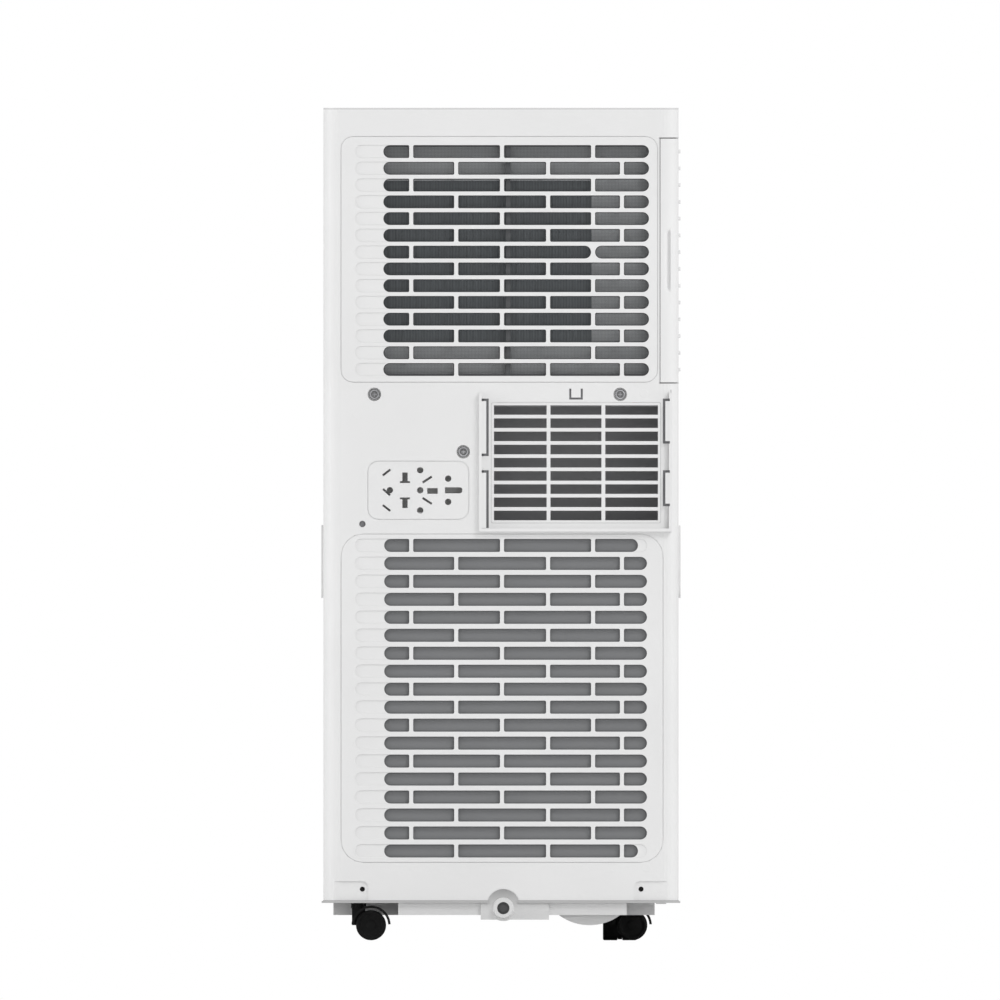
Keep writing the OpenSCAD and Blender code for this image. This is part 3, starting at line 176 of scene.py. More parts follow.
def rubber(name, colour, rough=0.7, specular=0.5):
    """Matt rubber with patches of dust."""
    mat, nodes, links, shader = new_material(name)
    coords = object_coords(nodes)
    dust = noise(nodes, links, coords, 60.0, 5.0, 0.6)
    tint = ramp(nodes, links, dust, shade(colour, 0.8), shade(colour, 1.5), 0.4, 0.8)
    links.new(tint, shader.inputs["Base Color"])
    fine = noise(nodes, links, coords, 1500.0, 2.0)
    links.new(ramp(nodes, links, dust, rough - 0.08, rough + 0.08), shader.inputs["Roughness"])
    links.new(bump(nodes, links, fine, 0.3, 0.00008), shader.inputs["Normal"])
    shader.inputs["Specular IOR Level"].default_value = specular
    return mat


WAVE_BASE = 20    # a wave texture of scale 1 has this many radians per unit


def fins(name, colour, pitch, direction):
    """Thin plate fins drawn on a flat face: bands of painted highlight for the edges and painted shade for the
    gaps, repeating along one axis.
    """
    mat, nodes, links, shader = new_material(name)
    coords = object_coords(nodes)
    wave = nodes.new("ShaderNodeTexWave")
    wave.wave_type = "BANDS"
    wave.bands_direction = direction
    wave.inputs["Scale"].default_value = math.pi / (WAVE_BASE * pitch)
    wave.inputs["Distortion"].default_value = 0.15
    wave.inputs["Detail"].default_value = 1.0
    links.new(coords, wave.inputs["Vector"])
    # Painted highlight and painted shade of the fins, in alternating bands
    tint = ramp(nodes, links, wave.outputs["Fac"], shade(colour, 0.8), colour, 0.35, 0.75)
    links.new(tint, shader.inputs["Base Color"])
    links.new(bump(nodes, links, wave.outputs["Fac"], 0.12, 0.0003), shader.inputs["Normal"])
    shader.inputs["Metallic"].default_value = 0.2
    shader.inputs["Roughness"].default_value = 0.45
    return mat


WHITE = (0.68, 0.68, 0.68)
# Pale grey of the drain block, and the painted shade that darkens the arch towards its top
ARCH_PAINTED_SHADE, PALE_ARCH = (0.27, 0.27, 0.27), (0.56, 0.56, 0.56)
ARCH_Z0, ARCH_Z1 = 0.026, 0.043    # heights over which the painted shade in the drain arch deepens
FIN_PITCH = 1.2 * MM
MATERIALS = {
    "body_white": plastic("body_white", WHITE, rough=0.48, grain=0.22),
    "trim_grey": plastic("trim_grey", (0.62, 0.62, 0.63), rough=0.5),
    "tray_grey": plastic("tray_grey", (0.60, 0.60, 0.60), rough=0.55, grain=0.3, grain_size=0.0009),
    "inner_grey": plastic("inner_grey", (0.40, 0.41, 0.42), rough=0.6, grain=0.3),
    "screen_grey": plastic("screen_grey", (0.178, 0.182, 0.187), rough=0.6, grain=0.4),
    "duct_grey": plastic("duct_grey", (0.36, 0.36, 0.37), rough=0.6, grain=0.3),
    "fascia_black": plastic("fascia_black", (0.014, 0.014, 0.016), rough=0.36, grain=0.05, spread=0.1,
                            specular=0.12),
    "display_glass": plastic("display_glass", (0.006, 0.008, 0.010), rough=0.14, grain=0.0, spread=0.1,
                             specular=0.2),
    "led_glow": glow("led_glow", (0.35, 0.85, 1.0), 2.2),
    "arch_grey_painted_shade": graded("arch_grey_painted_shade", PALE_ARCH, ARCH_PAINTED_SHADE, ARCH_Z0, ARCH_Z1),
    # Top cover greyer than the body: painted shade of the top edge's rounded rim
    "top_shade_grey": plastic("top_shade_grey", (0.56, 0.56, 0.56), rough=0.48, grain=0.22),
    "slot_grey": plastic("slot_grey", (0.24, 0.24, 0.25), rough=0.6, grain=0.3),
    # Dark sheet behind the upper grille's slots: painted shade at the slot edges
    "shade_sheet_grey": plastic("shade_sheet_grey", (0.05, 0.052, 0.055), rough=0.7),
    "frame_grey": plastic("frame_grey", (0.07, 0.073, 0.077), rough=0.6),
    # Dark disc in the screw sockets: painted shade of the recess
    "socket_shade_grey": plastic("socket_shade_grey", (0.15, 0.15, 0.152), rough=0.5),
    # Grey base strip: painted shade along the panel's bottom edge and over the flange
    "shade_strip_grey": plastic("shade_strip_grey", (0.40, 0.40, 0.40), rough=0.7),
    "button_white": plastic("button_white", (0.72, 0.72, 0.72), rough=0.38, grain=0.12),
    "board_green": plastic("board_green", (0.02, 0.10, 0.045), rough=0.3, grain=0.1, grain_size=0.002),
    "mesh_grey": plastic("mesh_grey", (0.11, 0.115, 0.12), rough=0.6, grain=0.4),
    "castor_black": plastic("castor_black", (0.007, 0.007, 0.007), rough=0.5, grain=0.2, specular=0.12),
    "wheel_black": rubber("wheel_black", (0.006, 0.006, 0.006), rough=0.65, specular=0.12),
    "steel": metal("steel", (0.56, 0.56, 0.57), rough=0.34),
    "rubber_black": rubber("rubber_black", (0.045, 0.045, 0.047)),
    "fin_aluminium": fins("fin_aluminium", (0.108, 0.122, 0.132), FIN_PITCH, "X"),
    "copper": metal("copper", (0.66, 0.33, 0.20), rough=0.3, spread=0.2),
    "fan_black": plastic("fan_black", (0.035, 0.035, 0.037), rough=0.45),
    "motor_steel": metal("motor_steel", (0.30, 0.30, 0.31), rough=0.45),
    "compressor_black": plastic("compressor_black", (0.015, 0.015, 0.015), rough=0.35, grain=0.5,
                                grain_size=0.002),
}


def use_material(obj, material):
    obj.data.materials.clear()
    obj.data.materials.append(MATERIALS[material])


# ---- Edges of the carried-over CAD nodes ----

def soften(obj, width, segments=2, angle=32):
    """Merges the flat triangles of a CAD mesh, rounds its sharp edges and smooths its curved faces."""
    merge = obj.modifiers.new("merge", "DECIMATE")
    merge.decimate_type = "DISSOLVE"
    merge.angle_limit = math.radians(0.6)
    edge = obj.modifiers.new("edge", "BEVEL")
    edge.width = width
    edge.segments = segments
    edge.limit_method = "ANGLE"
    edge.angle_limit = math.radians(angle)
    edge.use_clamp_overlap = True
    edge.harden_normals = False
    smooth(obj)


def smooth(obj):
    for poly in obj.data.polygons:
        poly.use_smooth = True
    weighted = obj.modifiers.new("normals", "WEIGHTED_NORMAL")
    weighted.keep_sharp = False
    weighted.weight = 100


EDGE = {    # rounding of each node's edges in mm
    "rear_panel": 0.5, "front_panel": 0.6, "top_cover": 0.6, "left_handle": 0.6, "right_handle": 0.6,
    "base_tray": 0.5, "outlet_frame": 0.4, "outlet_flap": 0.4, "plug_holder": 0.25,
    "control_fascia": 0.25, "display_window": 0.2, "exhaust_grille": 0.3, "filter_frame": 0.3,
    "drain_plug": 0.3, "vane_link": 0.2,
}
MOVING_EDGE = 0.3    # the same for castors, buttons and vanes

# Nodes whose look differs from their slot's own material
FINISH = {"heat_scroll": "duct_grey", "filter_frame": "frame_grey", "lower_screen": "screen_grey",
          "top_cover": "top_shade_grey"}


def dress_cad_nodes():
    for name, obj in frame["nodes"].items():
        slot_name = next(s["material_slot"] for s in frame["record"]["subparts"] if s["node"] == name)
        use_material(obj, FINISH.get(name, slot_name))
        width = EDGE.get(name, MOVING_EDGE if name.startswith(("castor", "button", "vane")) else 0)
        if width:
            soften(obj, width * MM)


dress_cad_nodes()


# ---- Outlines ----

def arc(cx, cz, radius, start, end, steps):
    turn = math.radians(end - start) / steps
    first = math.radians(start)
    return [(cx + radius * math.cos(first + turn * i), cz + radius * math.sin(first + turn * i))
            for i in range(steps + 1)]


def rounded(x0, x1, z0, z1, left_r, right_r=None, steps=6):
    """Rectangle outline with one corner radius on the left and one on the right."""
    right_r = left_r if right_r is None else right_r
    return (arc(x0 + left_r, z0 + left_r, left_r, 180, 270, steps)
            + arc(x1 - right_r, z0 + right_r, right_r, 270, 360, steps)
            + arc(x1 - right_r, z1 - right_r, right_r, 0, 90, steps)
            + arc(x0 + left_r, z1 - left_r, left_r, 90, 180, steps))


def grown(lo, hi, by, radius):
    """Rounded outline of a box seen from behind, made larger all round."""
    return rounded(lo.x - by, hi.x + by, lo.z - by, hi.z + by, radius, steps=10)


def plate(name, outer, holes, y0, y1, bevel):
    """Flat plate in the XZ plane from y0 to y1, with holes and rounded edges, as one mesh."""
    curve = bpy.data.curves.new(name, "CURVE")
    curve.dimensions = "2D"
    curve.fill_mode = "BOTH"
    curve.extrude = (y1 - y0) / 2 - bevel
    curve.bevel_depth = bevel
    curve.bevel_resolution = 1
    curve.offset = -bevel
    for outline in [outer] + holes:
        spline = curve.splines.new("POLY")
        spline.points.add(len(outline) - 1)
        for point, (x, z) in zip(spline.points, outline):
            point.co = (x, z, 0, 1)
        spline.use_cyclic_u = True
    holder = bpy.data.objects.new(name, curve)
    bpy.context.scene.collection.objects.link(holder)
    bpy.context.view_layer.update()
    mesh = bpy.data.meshes.new_from_object(holder.evaluated_get(bpy.context.evaluated_depsgraph_get()))
    bpy.data.objects.remove(holder)
    mesh.name = name
    mesh.transform(Matrix.Translation((0, (y0 + y1) / 2, 0)) @ Matrix.Rotation(math.pi / 2, 4, "X"))
    return mesh


def lathe(profile, steps=64):
    """Mesh of a profile of (radius, height) points turned about Z; a radius of 0 closes an end."""
    work = bmesh.new()
    rings = []
    for radius, height in profile:
        count = 1 if radius == 0 else steps
        turns = [2 * math.pi * i / steps for i in range(count)]
        rings.append([work.verts.new((radius * math.cos(a), radius * math.sin(a), height)) for a in turns])
    for low, high in zip(rings, rings[1:]):
        for i in range(steps):
            j = (i + 1) % steps
            corners = [low[i % len(low)], low[j % len(low)], high[j % len(high)], high[i % len(high)]]
            face = list(dict.fromkeys(corners))
            if len(face) > 2:
                work.faces.new(face)
    mesh = bpy.data.meshes.new("lathe")
    work.to_mesh(mesh)
    work.free()
    return mesh


def placed(mesh, place, axis):
    """Turns a mesh so that its Z points along axis and moves it to place."""
    turn = Vector(axis).to_track_quat("Z", "Y").to_matrix().to_4x4()
    mesh.transform(Matrix.Translation(place) @ turn)
    return mesh


def bars(name, boxes):
    """One mesh of many small boxes, each given as its low and high corners."""
    verts, faces = [], []
    for lo, hi in boxes:
        first = len(verts)
        verts += [(x, y, z) for x in (lo[0], hi[0]) for y in (lo[1], hi[1]) for z in (lo[2], hi[2])]
        faces += [tuple(first + i for i in face) for face in
                  ((0, 1, 3, 2), (4, 6, 7, 5), (0, 4, 5, 1), (2, 3, 7, 6), (0, 2, 6, 4), (1, 5, 7, 3))]
    mesh = bpy.data.meshes.new(name)
    mesh.from_pydata(verts, [], faces)
    return mesh


def add_piece(name, mesh, body, material, replaces=None):
    """Adds a mesh as a named piece that rides on a body."""
    obj = bpy.data.objects.new(name, mesh)
    bpy.context.scene.collection.objects.link(obj)
    use_material(obj, material)
    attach(obj, body)
    if replaces:
        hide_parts(*replaces)
    return obj


def mount_place(name):
    return next(m["pos_m"] for m in frame["record"]["mounts"] if m["name"] == name)


def join_meshes(name, meshes):
    work = bmesh.new()
    for mesh in meshes:
        work.from_mesh(mesh)
    joined = bpy.data.meshes.new(name)
    work.to_mesh(joined)
    work.free()
    return joined


# ---- Grilles with slots and blind pockets ----

ODD_BARS = (0.102, 0.445, 0.789)     # places of the upright bars, as shares of the slots' span
EVEN_BARS = (0.272, 0.619, 0.898)
BAR_W = 3.4 * MM
INNER_R = 1.2 * MM
NEARLY = 0.999            # keeps the two arcs of a round end apart
POCKET_DEEP = 0.65 * MM
FACE_EDGE, CORE_EDGE, SHADE_SHEET_EDGE = 0.22 * MM, 0.12 * MM, 0.05 * MM    # rounding of the plates' edges
FACE_OVERLAP = 0.3 * MM
SHADE_SHEET_Y0, SHADE_SHEET_Y1 = 0.02 * MM, 0.3 * MM    # the dark sheet's two faces, measured from the grille's back
SHADE_SHEET_INSET = 0.6 * MM    # how far the dark sheet's edge shows inside a slot, as a painted shade border
GAP_FILL = 0.45 * MM      # how far the core reaches into the gap around a grille
SLOTS_X1 = HALF_W - 25 * MM
BARS_X0 = -HALF_W + 51.4 * MM
BARS_SPAN = SLOTS_X1 - BARS_X0
POCKET_X0 = -HALF_W + 26.7 * MM


def row_slots(row, z, height, x_start, x_end, joint=False, inset=0.0):
    """Slot outlines of one row, and the outline of the row's leftmost slot with its blind pocket.

    With joint the last bar's ends are round, as where two tools met."""
    height -= 2 * inset
    bar_x = [BARS_X0 + share * BARS_SPAN for share in (EVEN_BARS if row % 2 else ODD_BARS)]
    ends = [x_start] + [edge for b in bar_x for edge in (b - BAR_W / 2, b + BAR_W / 2)] + [x_end]
    half = height / 2
    round_r = half * NEARLY
    slots = []
    for k in range(4):
        left_r = round_r if k == 0 or (joint and k == 3) else INNER_R
        right_r = round_r if k == 3 or (joint and k == 2) else INNER_R
        x0, x1 = ends[2 * k] + inset, ends[2 * k + 1] - inset
        slots.append(rounded(x0, x1, z - half, z + half, left_r, right_r))
    pocket = rounded(POCKET_X0, ends[1], z - half, z + half, round_r, INNER_R)
    return slots, pocket


def build_grille(node, rows, pitch, height, margin, radius, x_start, x_end, shade_sheet_material, short_rows=(),
                 joint_row=None):
    """Face plate with blind pockets over a core with the open slots, and a thin dark sheet behind whose edge
    inside each slot is painted shade.
    """
    lo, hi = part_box(node)
    front, back, sheet_holes = [], [], []
    for row in range(rows):
        z = hi.z + SEAM - margin - row * pitch
        end = x_end - (SHORT_BY if row in short_rows else 0)
        slots, pocket = row_slots(row, z, height, x_start, end, row == joint_row)
        front += [pocket] + slots[1:]
        back += slots
        sheet_holes += row_slots(row, z, height, x_start, end, row == joint_row, SHADE_SHEET_INSET)[0]
        if row in short_rows:
            tail_x0 = min(p[0] for p in slots[-1])
            half = height / 2
            front[-1] = rounded(tail_x0, x_end, z - half, z + half, INNER_R, half * NEARLY)
    face = plate(node + "_face", grown(lo, hi, 0, radius), front,
                 lo.y, lo.y + POCKET_DEEP + FACE_OVERLAP, FACE_EDGE)
    filled = grown(lo, hi, GAP_FILL, radius + GAP_FILL)
    core = plate(node + "_core", filled, back, lo.y + POCKET_DEEP, hi.y, CORE_EDGE)
    mesh = join_meshes(node + "_shell", [face, core])
    smooth(add_piece(node + "_shell", mesh, "cabinet", "body_white", [node]))
    # The dark sheet's edge, seen all round inside each slot, paints the shade at the slots' walls
    shade_sheet = plate(node + "_shade_sheet", filled, sheet_holes, hi.y + SHADE_SHEET_Y0, hi.y + SHADE_SHEET_Y1, SHADE_SHEET_EDGE)
    add_piece(node + "_shade_sheet", shade_sheet, "cabinet", shade_sheet_material)


UPPER_ROWS, UPPER_PITCH, UPPER_SLOT = 14, 14.16 * MM, 10.8 * MM
UPPER_MARGIN, UPPER_R = 13 * MM, 10 * MM
LOWER_ROWS, LOWER_PITCH, LOWER_SLOT = 18, 15.18 * MM, 11 * MM
LOWER_MARGIN, LOWER_R = 9.9 * MM, 18.5 * MM
SHORT_BY = 7.6 * MM       # how far the open slots of a short row stop before the others
build_grille("upper_grille", UPPER_ROWS, UPPER_PITCH, UPPER_SLOT, UPPER_MARGIN, UPPER_R,
             BARS_X0 - 0.7 * MM, SLOTS_X1, "shade_sheet_grey", joint_row=6)
# The lower grille's dark sheet, in mesh_grey, paints the same shade border inside its slots
build_grille("lower_grille", LOWER_ROWS, LOWER_PITCH, LOWER_SLOT, LOWER_MARGIN, LOWER_R,
             BARS_X0, SLOTS_X1 - 1.7 * MM, "mesh_grey", short_rows=(0, LOWER_ROWS - 1))


# ---- Filter weave and seam fillers ----

def build_weave():
    """See-through filter mesh of crossed threads, in the frame's two windows."""
    lo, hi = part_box("filter_mesh")
    pitch, thread = 1.2 * MM, 0.15 * MM
    middle = (lo.x + hi.x) / 2
    rib = 2 * MM
    y = (lo.y + hi.y) / 2
    threads = []
    for x0, x1 in ((lo.x, middle - rib), (middle + rib, hi.x)):
        for i in range(1, int((x1 - x0) / pitch)):
            x = x0 + i * pitch
            threads.append(((x - thread / 2, y - thread, lo.z), (x + thread / 2, y, hi.z)))
        for i in range(1, int((hi.z - lo.z) / pitch)):
            z = lo.z + i * pitch
            threads.append(((x0, y, z - thread / 2), (x1, y + thread, z + thread / 2)))
    add_piece("filter_weave", bars("filter_weave", threads), "filter_drawer", "mesh_grey", ["filter_mesh"])


def build_plug_rim():
    """Rebate of the rear panel behind the plug holder's outline."""
    lo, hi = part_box("plug_holder")
    corner_r, short, edge = 8.4 * MM, 0.1 * MM, 0.05 * MM
    outer = grown(lo, hi, GAP_FILL, corner_r + GAP_FILL)
    inner = grown(lo, hi, -SEAM, corner_r - SEAM)
    rim = plate("plug_rim", outer, [inner], REAR_Y + POCKET_DEEP, REAR_Y + WALL - short, edge)
    add_piece("plug_rim", rim, "cabinet", "body_white")


def build_door_stop():
    """Lip of the rear panel that the filter door's edge closes against."""
    lo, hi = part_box("filter_door")
    x1 = HALF_W - 15.7 * MM
    width, sunk = 2 * MM, 1.1 * MM
    lip = bars("door_stop", [((x1 - width, REAR_Y + sunk, lo.z), (x1, REAR_Y + WALL, hi.z))])
    add_piece("door_stop", lip, "cabinet", "body_white")


# ---- Screws ----

def circle(cx, cz, radius, steps=40):
    return arc(cx, cz, radius, 0, 360 - 360 / steps, steps - 1)


def cross(cx, cz, reach, half):
    """Outline of a plus sign."""
    points = [(half, half), (half, reach), (-half, reach), (-half, half), (-reach, half), (-reach, -half),
              (-half, -half), (-half, -reach), (half, -reach), (half, -half), (reach, -half), (reach, half)]
    return [(cx + x, cz + z) for x, z in points]


# Panel screws: x, and height from the top pair; the third one sits beside the plug holder
PANEL_SCREWS = ((-HALF_W + 43.1 * MM, 0), (HALF_W - 49.3 * MM, 0), (-31.8 * MM, -48.5 * MM))
THREAD_R, HEAD_R, SOCKET_R = 1.9 * MM, 4.4 * MM, 2.7 * MM
CROSS_REACH, CROSS_HALF = 2.0 * MM, 0.45 * MM


def screw_shank():
    """Profile of a flange under the head and a thread of six turns."""
    flange_r, flange_t, root_r = HEAD_R * 0.96, 0.6 * MM, THREAD_R * 0.78
    first, pitch = 1.2 * MM, 1.1 * MM
    profile = [(0, 0), (flange_r, 0), (flange_r, flange_t), (THREAD_R, flange_t)]
    for i in range(6):
        profile += [(THREAD_R, first + pitch * i), (root_r, first + pitch * (i + 0.5))]
    return profile + [(0, 8.5 * MM)]


def build_panel_screws(top_z):
    """Pan-head screws with a cross recess, sunk in the rear panel; the dark disc in each socket is painted shade
    of the recess.
    """
    face_y, head_t, head_edge = REAR_Y + 3.3 * MM, 1.6 * MM, 0.35 * MM
    drive_y, drive_t, drive_edge = face_y + 0.8 * MM, 0.6 * MM, 0.1 * MM
    heads, drives, shanks = [], [], []
    for x, height in PANEL_SCREWS:
        z = top_z + height
        heads.append(plate("head", circle(x, z, HEAD_R), [circle(x, z, SOCKET_R)],
                           face_y, face_y + head_t, head_edge))
        recess = cross(x, z, CROSS_REACH, CROSS_HALF)
        drives.append(plate("drive", circle(x, z, SOCKET_R + 0.2 * MM), [recess],
                            drive_y, drive_y + drive_t, drive_edge))
        shanks.append(placed(lathe(screw_shank(), 32), (x, drive_y + drive_t, z), (0, 1, 0)))
    smooth(add_piece("screw_heads", join_meshes("screw_heads", heads), "cabinet", "motor_steel",
                     ["rear_screws"]))
    add_piece("screw_drives", join_meshes("screw_drives", drives), "cabinet", "socket_shade_grey", ["rear_screws"])
    smooth(add_piece("screw_shanks", join_meshes("screw_shanks", shanks), "cabinet", "motor_steel",
                     ["rear_screws"]))


def build_foot_screws(x_low, x_high, z):
    """Small dark screws deep in the two foot holes, with a dimple in each face."""
    sunk = 1.9 * MM
    profile = [(0, 0.9 * MM), (0.7 * MM, 0.5 * MM), (1.2 * MM, 0), (THREAD_R, 0.2 * MM), (THREAD_R, 4 * MM),
               (0, 4.4 * MM)]
    screws = [placed(lathe(profile, 24), (x, REAR_Y + sunk, z), (0, 1, 0)) for x in (x_low, x_high)]
    smooth(add_piece("foot_screws", join_meshes("foot_screws", screws), "cabinet", "castor_black",
                     ["rear_screws"]))


def build_screws():
    lo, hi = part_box("rear_screws")
    build_panel_screws(hi.z - HEAD_R)
    build_foot_screws(lo.x + THREAD_R, hi.x - THREAD_R, lo.z + THREAD_R)


# ---- Filter door ----

def eased(value, start, end):
    """0 at start, 1 at end, with a smooth run between."""
    t = min(1.0, max(0.0, (value - start) / (end - start)))
    return t * t * (3 - 2 * t)


SCOOP_START, SCOOP_END, SCOOP_WALL = 8.0, 30.9, 32.2    # degrees round the door's corner
SCOOP_Z0, SCOOP_Z1 = 546.5 * MM, 601.5 * MM
SCOOP_DEEP, RIDGE_HIGH = 2.1 * MM, 0.6 * MM
SCOOP_FADE = 5 * MM       # length of the tapered ends
DIP_PAST, DIP_AT_END = 6, 0.88    # degrees that the dip runs past the end, and its share done by then
SCOOP_ROWS = 44           # rows of the grid along the scoop
CORNER_R = 15 * MM
EDGE_R = 0.4 * MM
TURNS = 120               # columns of the grid round the door's corner
PAST = 1                  # degrees before 0 and after 90 that stand for the door's straight edges


def scoop_depth(degrees, z):
    """How far the door's face lies behind its plain corner: a finger scoop, then a low ridge."""
    along = eased(z, SCOOP_Z0, SCOOP_Z0 + SCOOP_FADE) * eased(z, SCOOP_Z1, SCOOP_Z1 - SCOOP_FADE)
    run = eased(degrees, SCOOP_START, SCOOP_END + DIP_PAST)
    dip = run * (1 - eased(degrees, SCOOP_END, SCOOP_WALL)) / DIP_AT_END
    rise = eased(degrees, SCOOP_END, SCOOP_WALL + 1) * (1 - eased(degrees, SCOOP_WALL + 2, SCOOP_WALL + 12))
    return along * (SCOOP_DEEP * dip - RIDGE_HIGH * rise)


def edge_depth(distance):
    """How far a rounded edge lies behind the face at a distance from the edge."""
    near = max(0.0, EDGE_R - distance)
    return EDGE_R - math.sqrt(EDGE_R ** 2 - near ** 2)


def door_base(degrees, lo, hi):
    """Point of the door's outer outline in plan, and the way that it faces."""
    turn = math.radians(min(90, max(0, degrees)))
    way = Vector((math.sin(turn), -math.cos(turn), 0))
    base = Vector((HALF_W - CORNER_R, REAR_Y + CORNER_R, 0)) + way * CORNER_R
    if degrees < 0:
        base.x = lo.x
    if degrees > 90:
        base.y = hi.y - (90 + PAST - degrees) * MM
    return base, way


def door_shell(lo, hi):
    """Skin of the door: a grid of points over the outer face, one over the inner face, and the rim."""
    angles = [-PAST] + [i * 90 / TURNS for i in range(TURNS + 1)] + [90 + PAST / 2, 90 + PAST]
    edge_steps = [0, 0.02 * MM, 0.1 * MM, 0.2 * MM, EDGE_R]
    plain = 30 * MM
    heights = ([lo.z + e for e in edge_steps] + [lo.z + plain]
               + [SCOOP_Z0 + (SCOOP_Z1 - SCOOP_Z0) * i / SCOOP_ROWS for i in range(SCOOP_ROWS + 1)]
               + [hi.z - plain] + [hi.z - e for e in reversed(edge_steps)])
    outside, inside = [], []
    work = bmesh.new()
    for z in heights:
        outer_ring, inner_ring = [], []
        for a in angles:
            base, way = door_base(a, lo, hi)
            on_edge = a in (angles[0], angles[-1])
            down = max(edge_depth(min(z - lo.z, hi.z - z)), EDGE_R if on_edge else 0) + scoop_depth(a, z)
            for ring, depth in ((outer_ring, down), (inner_ring, WALL)):
                spot = base - way * depth
                ring.append(work.verts.new((spot.x, spot.y, z)))
        outside.append(outer_ring)
        inside.append(inner_ring)
    for grid in (outside, inside):
        for a, b in zip(grid, grid[1:]):
            for i in range(len(angles) - 1):
                work.faces.new((a[i], a[i + 1], b[i + 1], b[i]))
    for k in (0, -1):
        for i in range(len(angles) - 1):
            work.faces.new((outside[k][i], outside[k][i + 1], inside[k][i + 1], inside[k][i]))
        for row in range(len(heights) - 1):
            work.faces.new((outside[row][k], outside[row + 1][k], inside[row + 1][k], inside[row][k]))
    bmesh.ops.recalc_face_normals(work, faces=work.faces)
    shell = bpy.data.meshes.new("door_shell")
    work.to_mesh(shell)
    work.free()
    return shell


def door_ribs(hi):
    """One low rib on the door's side for each row of slots."""
    y0, y1 = REAR_Y + CORNER_R, hi.y - 4 * MM
    half, root = 1.6 * MM, 0.4 * MM
    ribs = []
    for row in range(UPPER_ROWS):
        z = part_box("upper_grille")[1].z + SEAM - UPPER_MARGIN - row * UPPER_PITCH
        outline = rounded(y0, y1, z - half, z + half, 0.7 * MM, steps=3)
        rib = plate("rib", outline, [], -hi.x, -(HALF_W - root), 0.3 * MM)
        rib.transform(Matrix.Rotation(math.pi / 2, 4, "Z"))
        ribs.append(rib)
    return join_meshes("door_ribs", ribs)


def build_door():
    """Corner door with a finger scoop, its inner web and its side ribs."""
    lo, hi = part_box("filter_door")
    web_t, short = 3 * MM, 0.1 * MM
    web = bars("door_web", [((lo.x, REAR_Y + WALL / 2, lo.z + short),
                             (lo.x + web_t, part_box("filter_frame")[1].y, hi.z - short))])
    body = join_meshes("door_shell", [door_shell(lo, hi), web])
    smooth(add_piece("door_shell", body, "filter_drawer", "body_white", ["filter_door"]))
    smooth(add_piece("door_ribs", door_ribs(hi), "filter_drawer", "body_white", ["filter_door"]))


build_weave()
build_door()
build_plug_rim()
build_door_stop()
build_screws()


# ---- Spout, moulding marks, castor wheels and a base strip of painted shade ----

def build_spout():
    """White flared collar over the drain spout."""
    place = Vector(mount_place("drain_spout"))
    tip_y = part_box("base_tray")[0].y
    bore, wall_r, flare_r = 5.3 * MM, 8.15 * MM, 9.0 * MM
    depth = REAR_Y - tip_y
    profile = [(bore, depth), (bore, 0.5 * MM), (bore + 0.4 * MM, 0.1 * MM), (wall_r - 0.5 * MM, 0),
               (wall_r, 0.35 * MM), (wall_r + 0.1 * MM, depth * 0.6), (flare_r, depth)]
    collar = placed(lathe(profile), (place.x, tip_y, place.z), (0, 1, 0))
    smooth(add_piece("spout_collar", collar, "cabinet", "button_white"))


DIMPLES = [(-120.6, 443.1), (76.8, 687.6), (120.8, 461.7), (122.7, 61.5)]    # x and z in mm


def build_dimples():
    """Faint round moulding marks on the rear face."""
    marks = []
    for x, z in DIMPLES:
        profile = [(0, 0.10 * MM), (3.0 * MM, 0.085 * MM), (3.6 * MM, 0.05 * MM), (3.85 * MM, 0)]
        marks.append(placed(lathe(profile, 40), (x * MM, REAR_Y + 0.02 * MM, z * MM), (0, -1, 0)))
    smooth(add_piece("moulding_marks", join_meshes("moulding_marks", marks), "cabinet", "body_white"))


# Half a wheel pair as (radius, distance from the middle) in mm: inner face, tread, dished face, hub cap
WHEEL_PROFILE = [(2.1, 3.0), (11.3, 3.0), (11.4, 2.15), (12.5, 2.15), (12.75, 2.5), (12.75, 7.4),
                 (12.55, 7.8), (12.75, 8.2), (12.75, 13.1), (12.5, 13.8), (11.9, 14.25), (10.4, 14.3),
                 (9.9, 14.0), (9.55, 13.35), (8.3, 13.3), (8.0, 13.0), (7.6, 13.3), (4.4, 13.3),
                 (4.1, 13.8), (3.5, 14.05), (0, 14.15)]
WEB_HALF, WEB_R, WEB_BORE, WEB_EDGE = 2.8 * MM, 10.9 * MM, 2.1 * MM, 0.3 * MM


def web_profile():
    """Closed section of the fork's hub disc, which reaches into the wheels' inner dishes."""
    face_r, edge = WEB_R - WEB_EDGE, WEB_HALF - WEB_EDGE
    return [(WEB_BORE, -WEB_HALF), (face_r, -WEB_HALF), (WEB_R, -edge), (WEB_R, edge), (face_r, WEB_HALF),
            (WEB_BORE, WEB_HALF), (WEB_BORE, -WEB_HALF)]


def build_wheels():
    """Twin castor wheels with a grooved tread, a dished face and a hub cap, and the disc between them."""
    for key in ("rl", "rr", "fl", "fr"):
        lo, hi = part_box("castor_%s_wheels" % key)
        centre = (lo + hi) / 2
        axis = Vector(JOINTS["castor_%s_roll" % key]["axis"])
        sides = [placed(lathe([(r * MM, t * MM) for r, t in WHEEL_PROFILE]), centre, axis * side)
                 for side in (-1, 1)]
        mesh = join_meshes("castor_%s_tyres" % key, sides)
        smooth(add_piece("castor_%s_tyres" % key, mesh, "castor_%s_wheel_pair" % key, "wheel_black",
                         ["castor_%s_wheels" % key]))
        web = placed(lathe(web_profile()), centre, axis)
        smooth(add_piece("castor_%s_web" % key, web, "castor_%s" % key, "castor_black"))


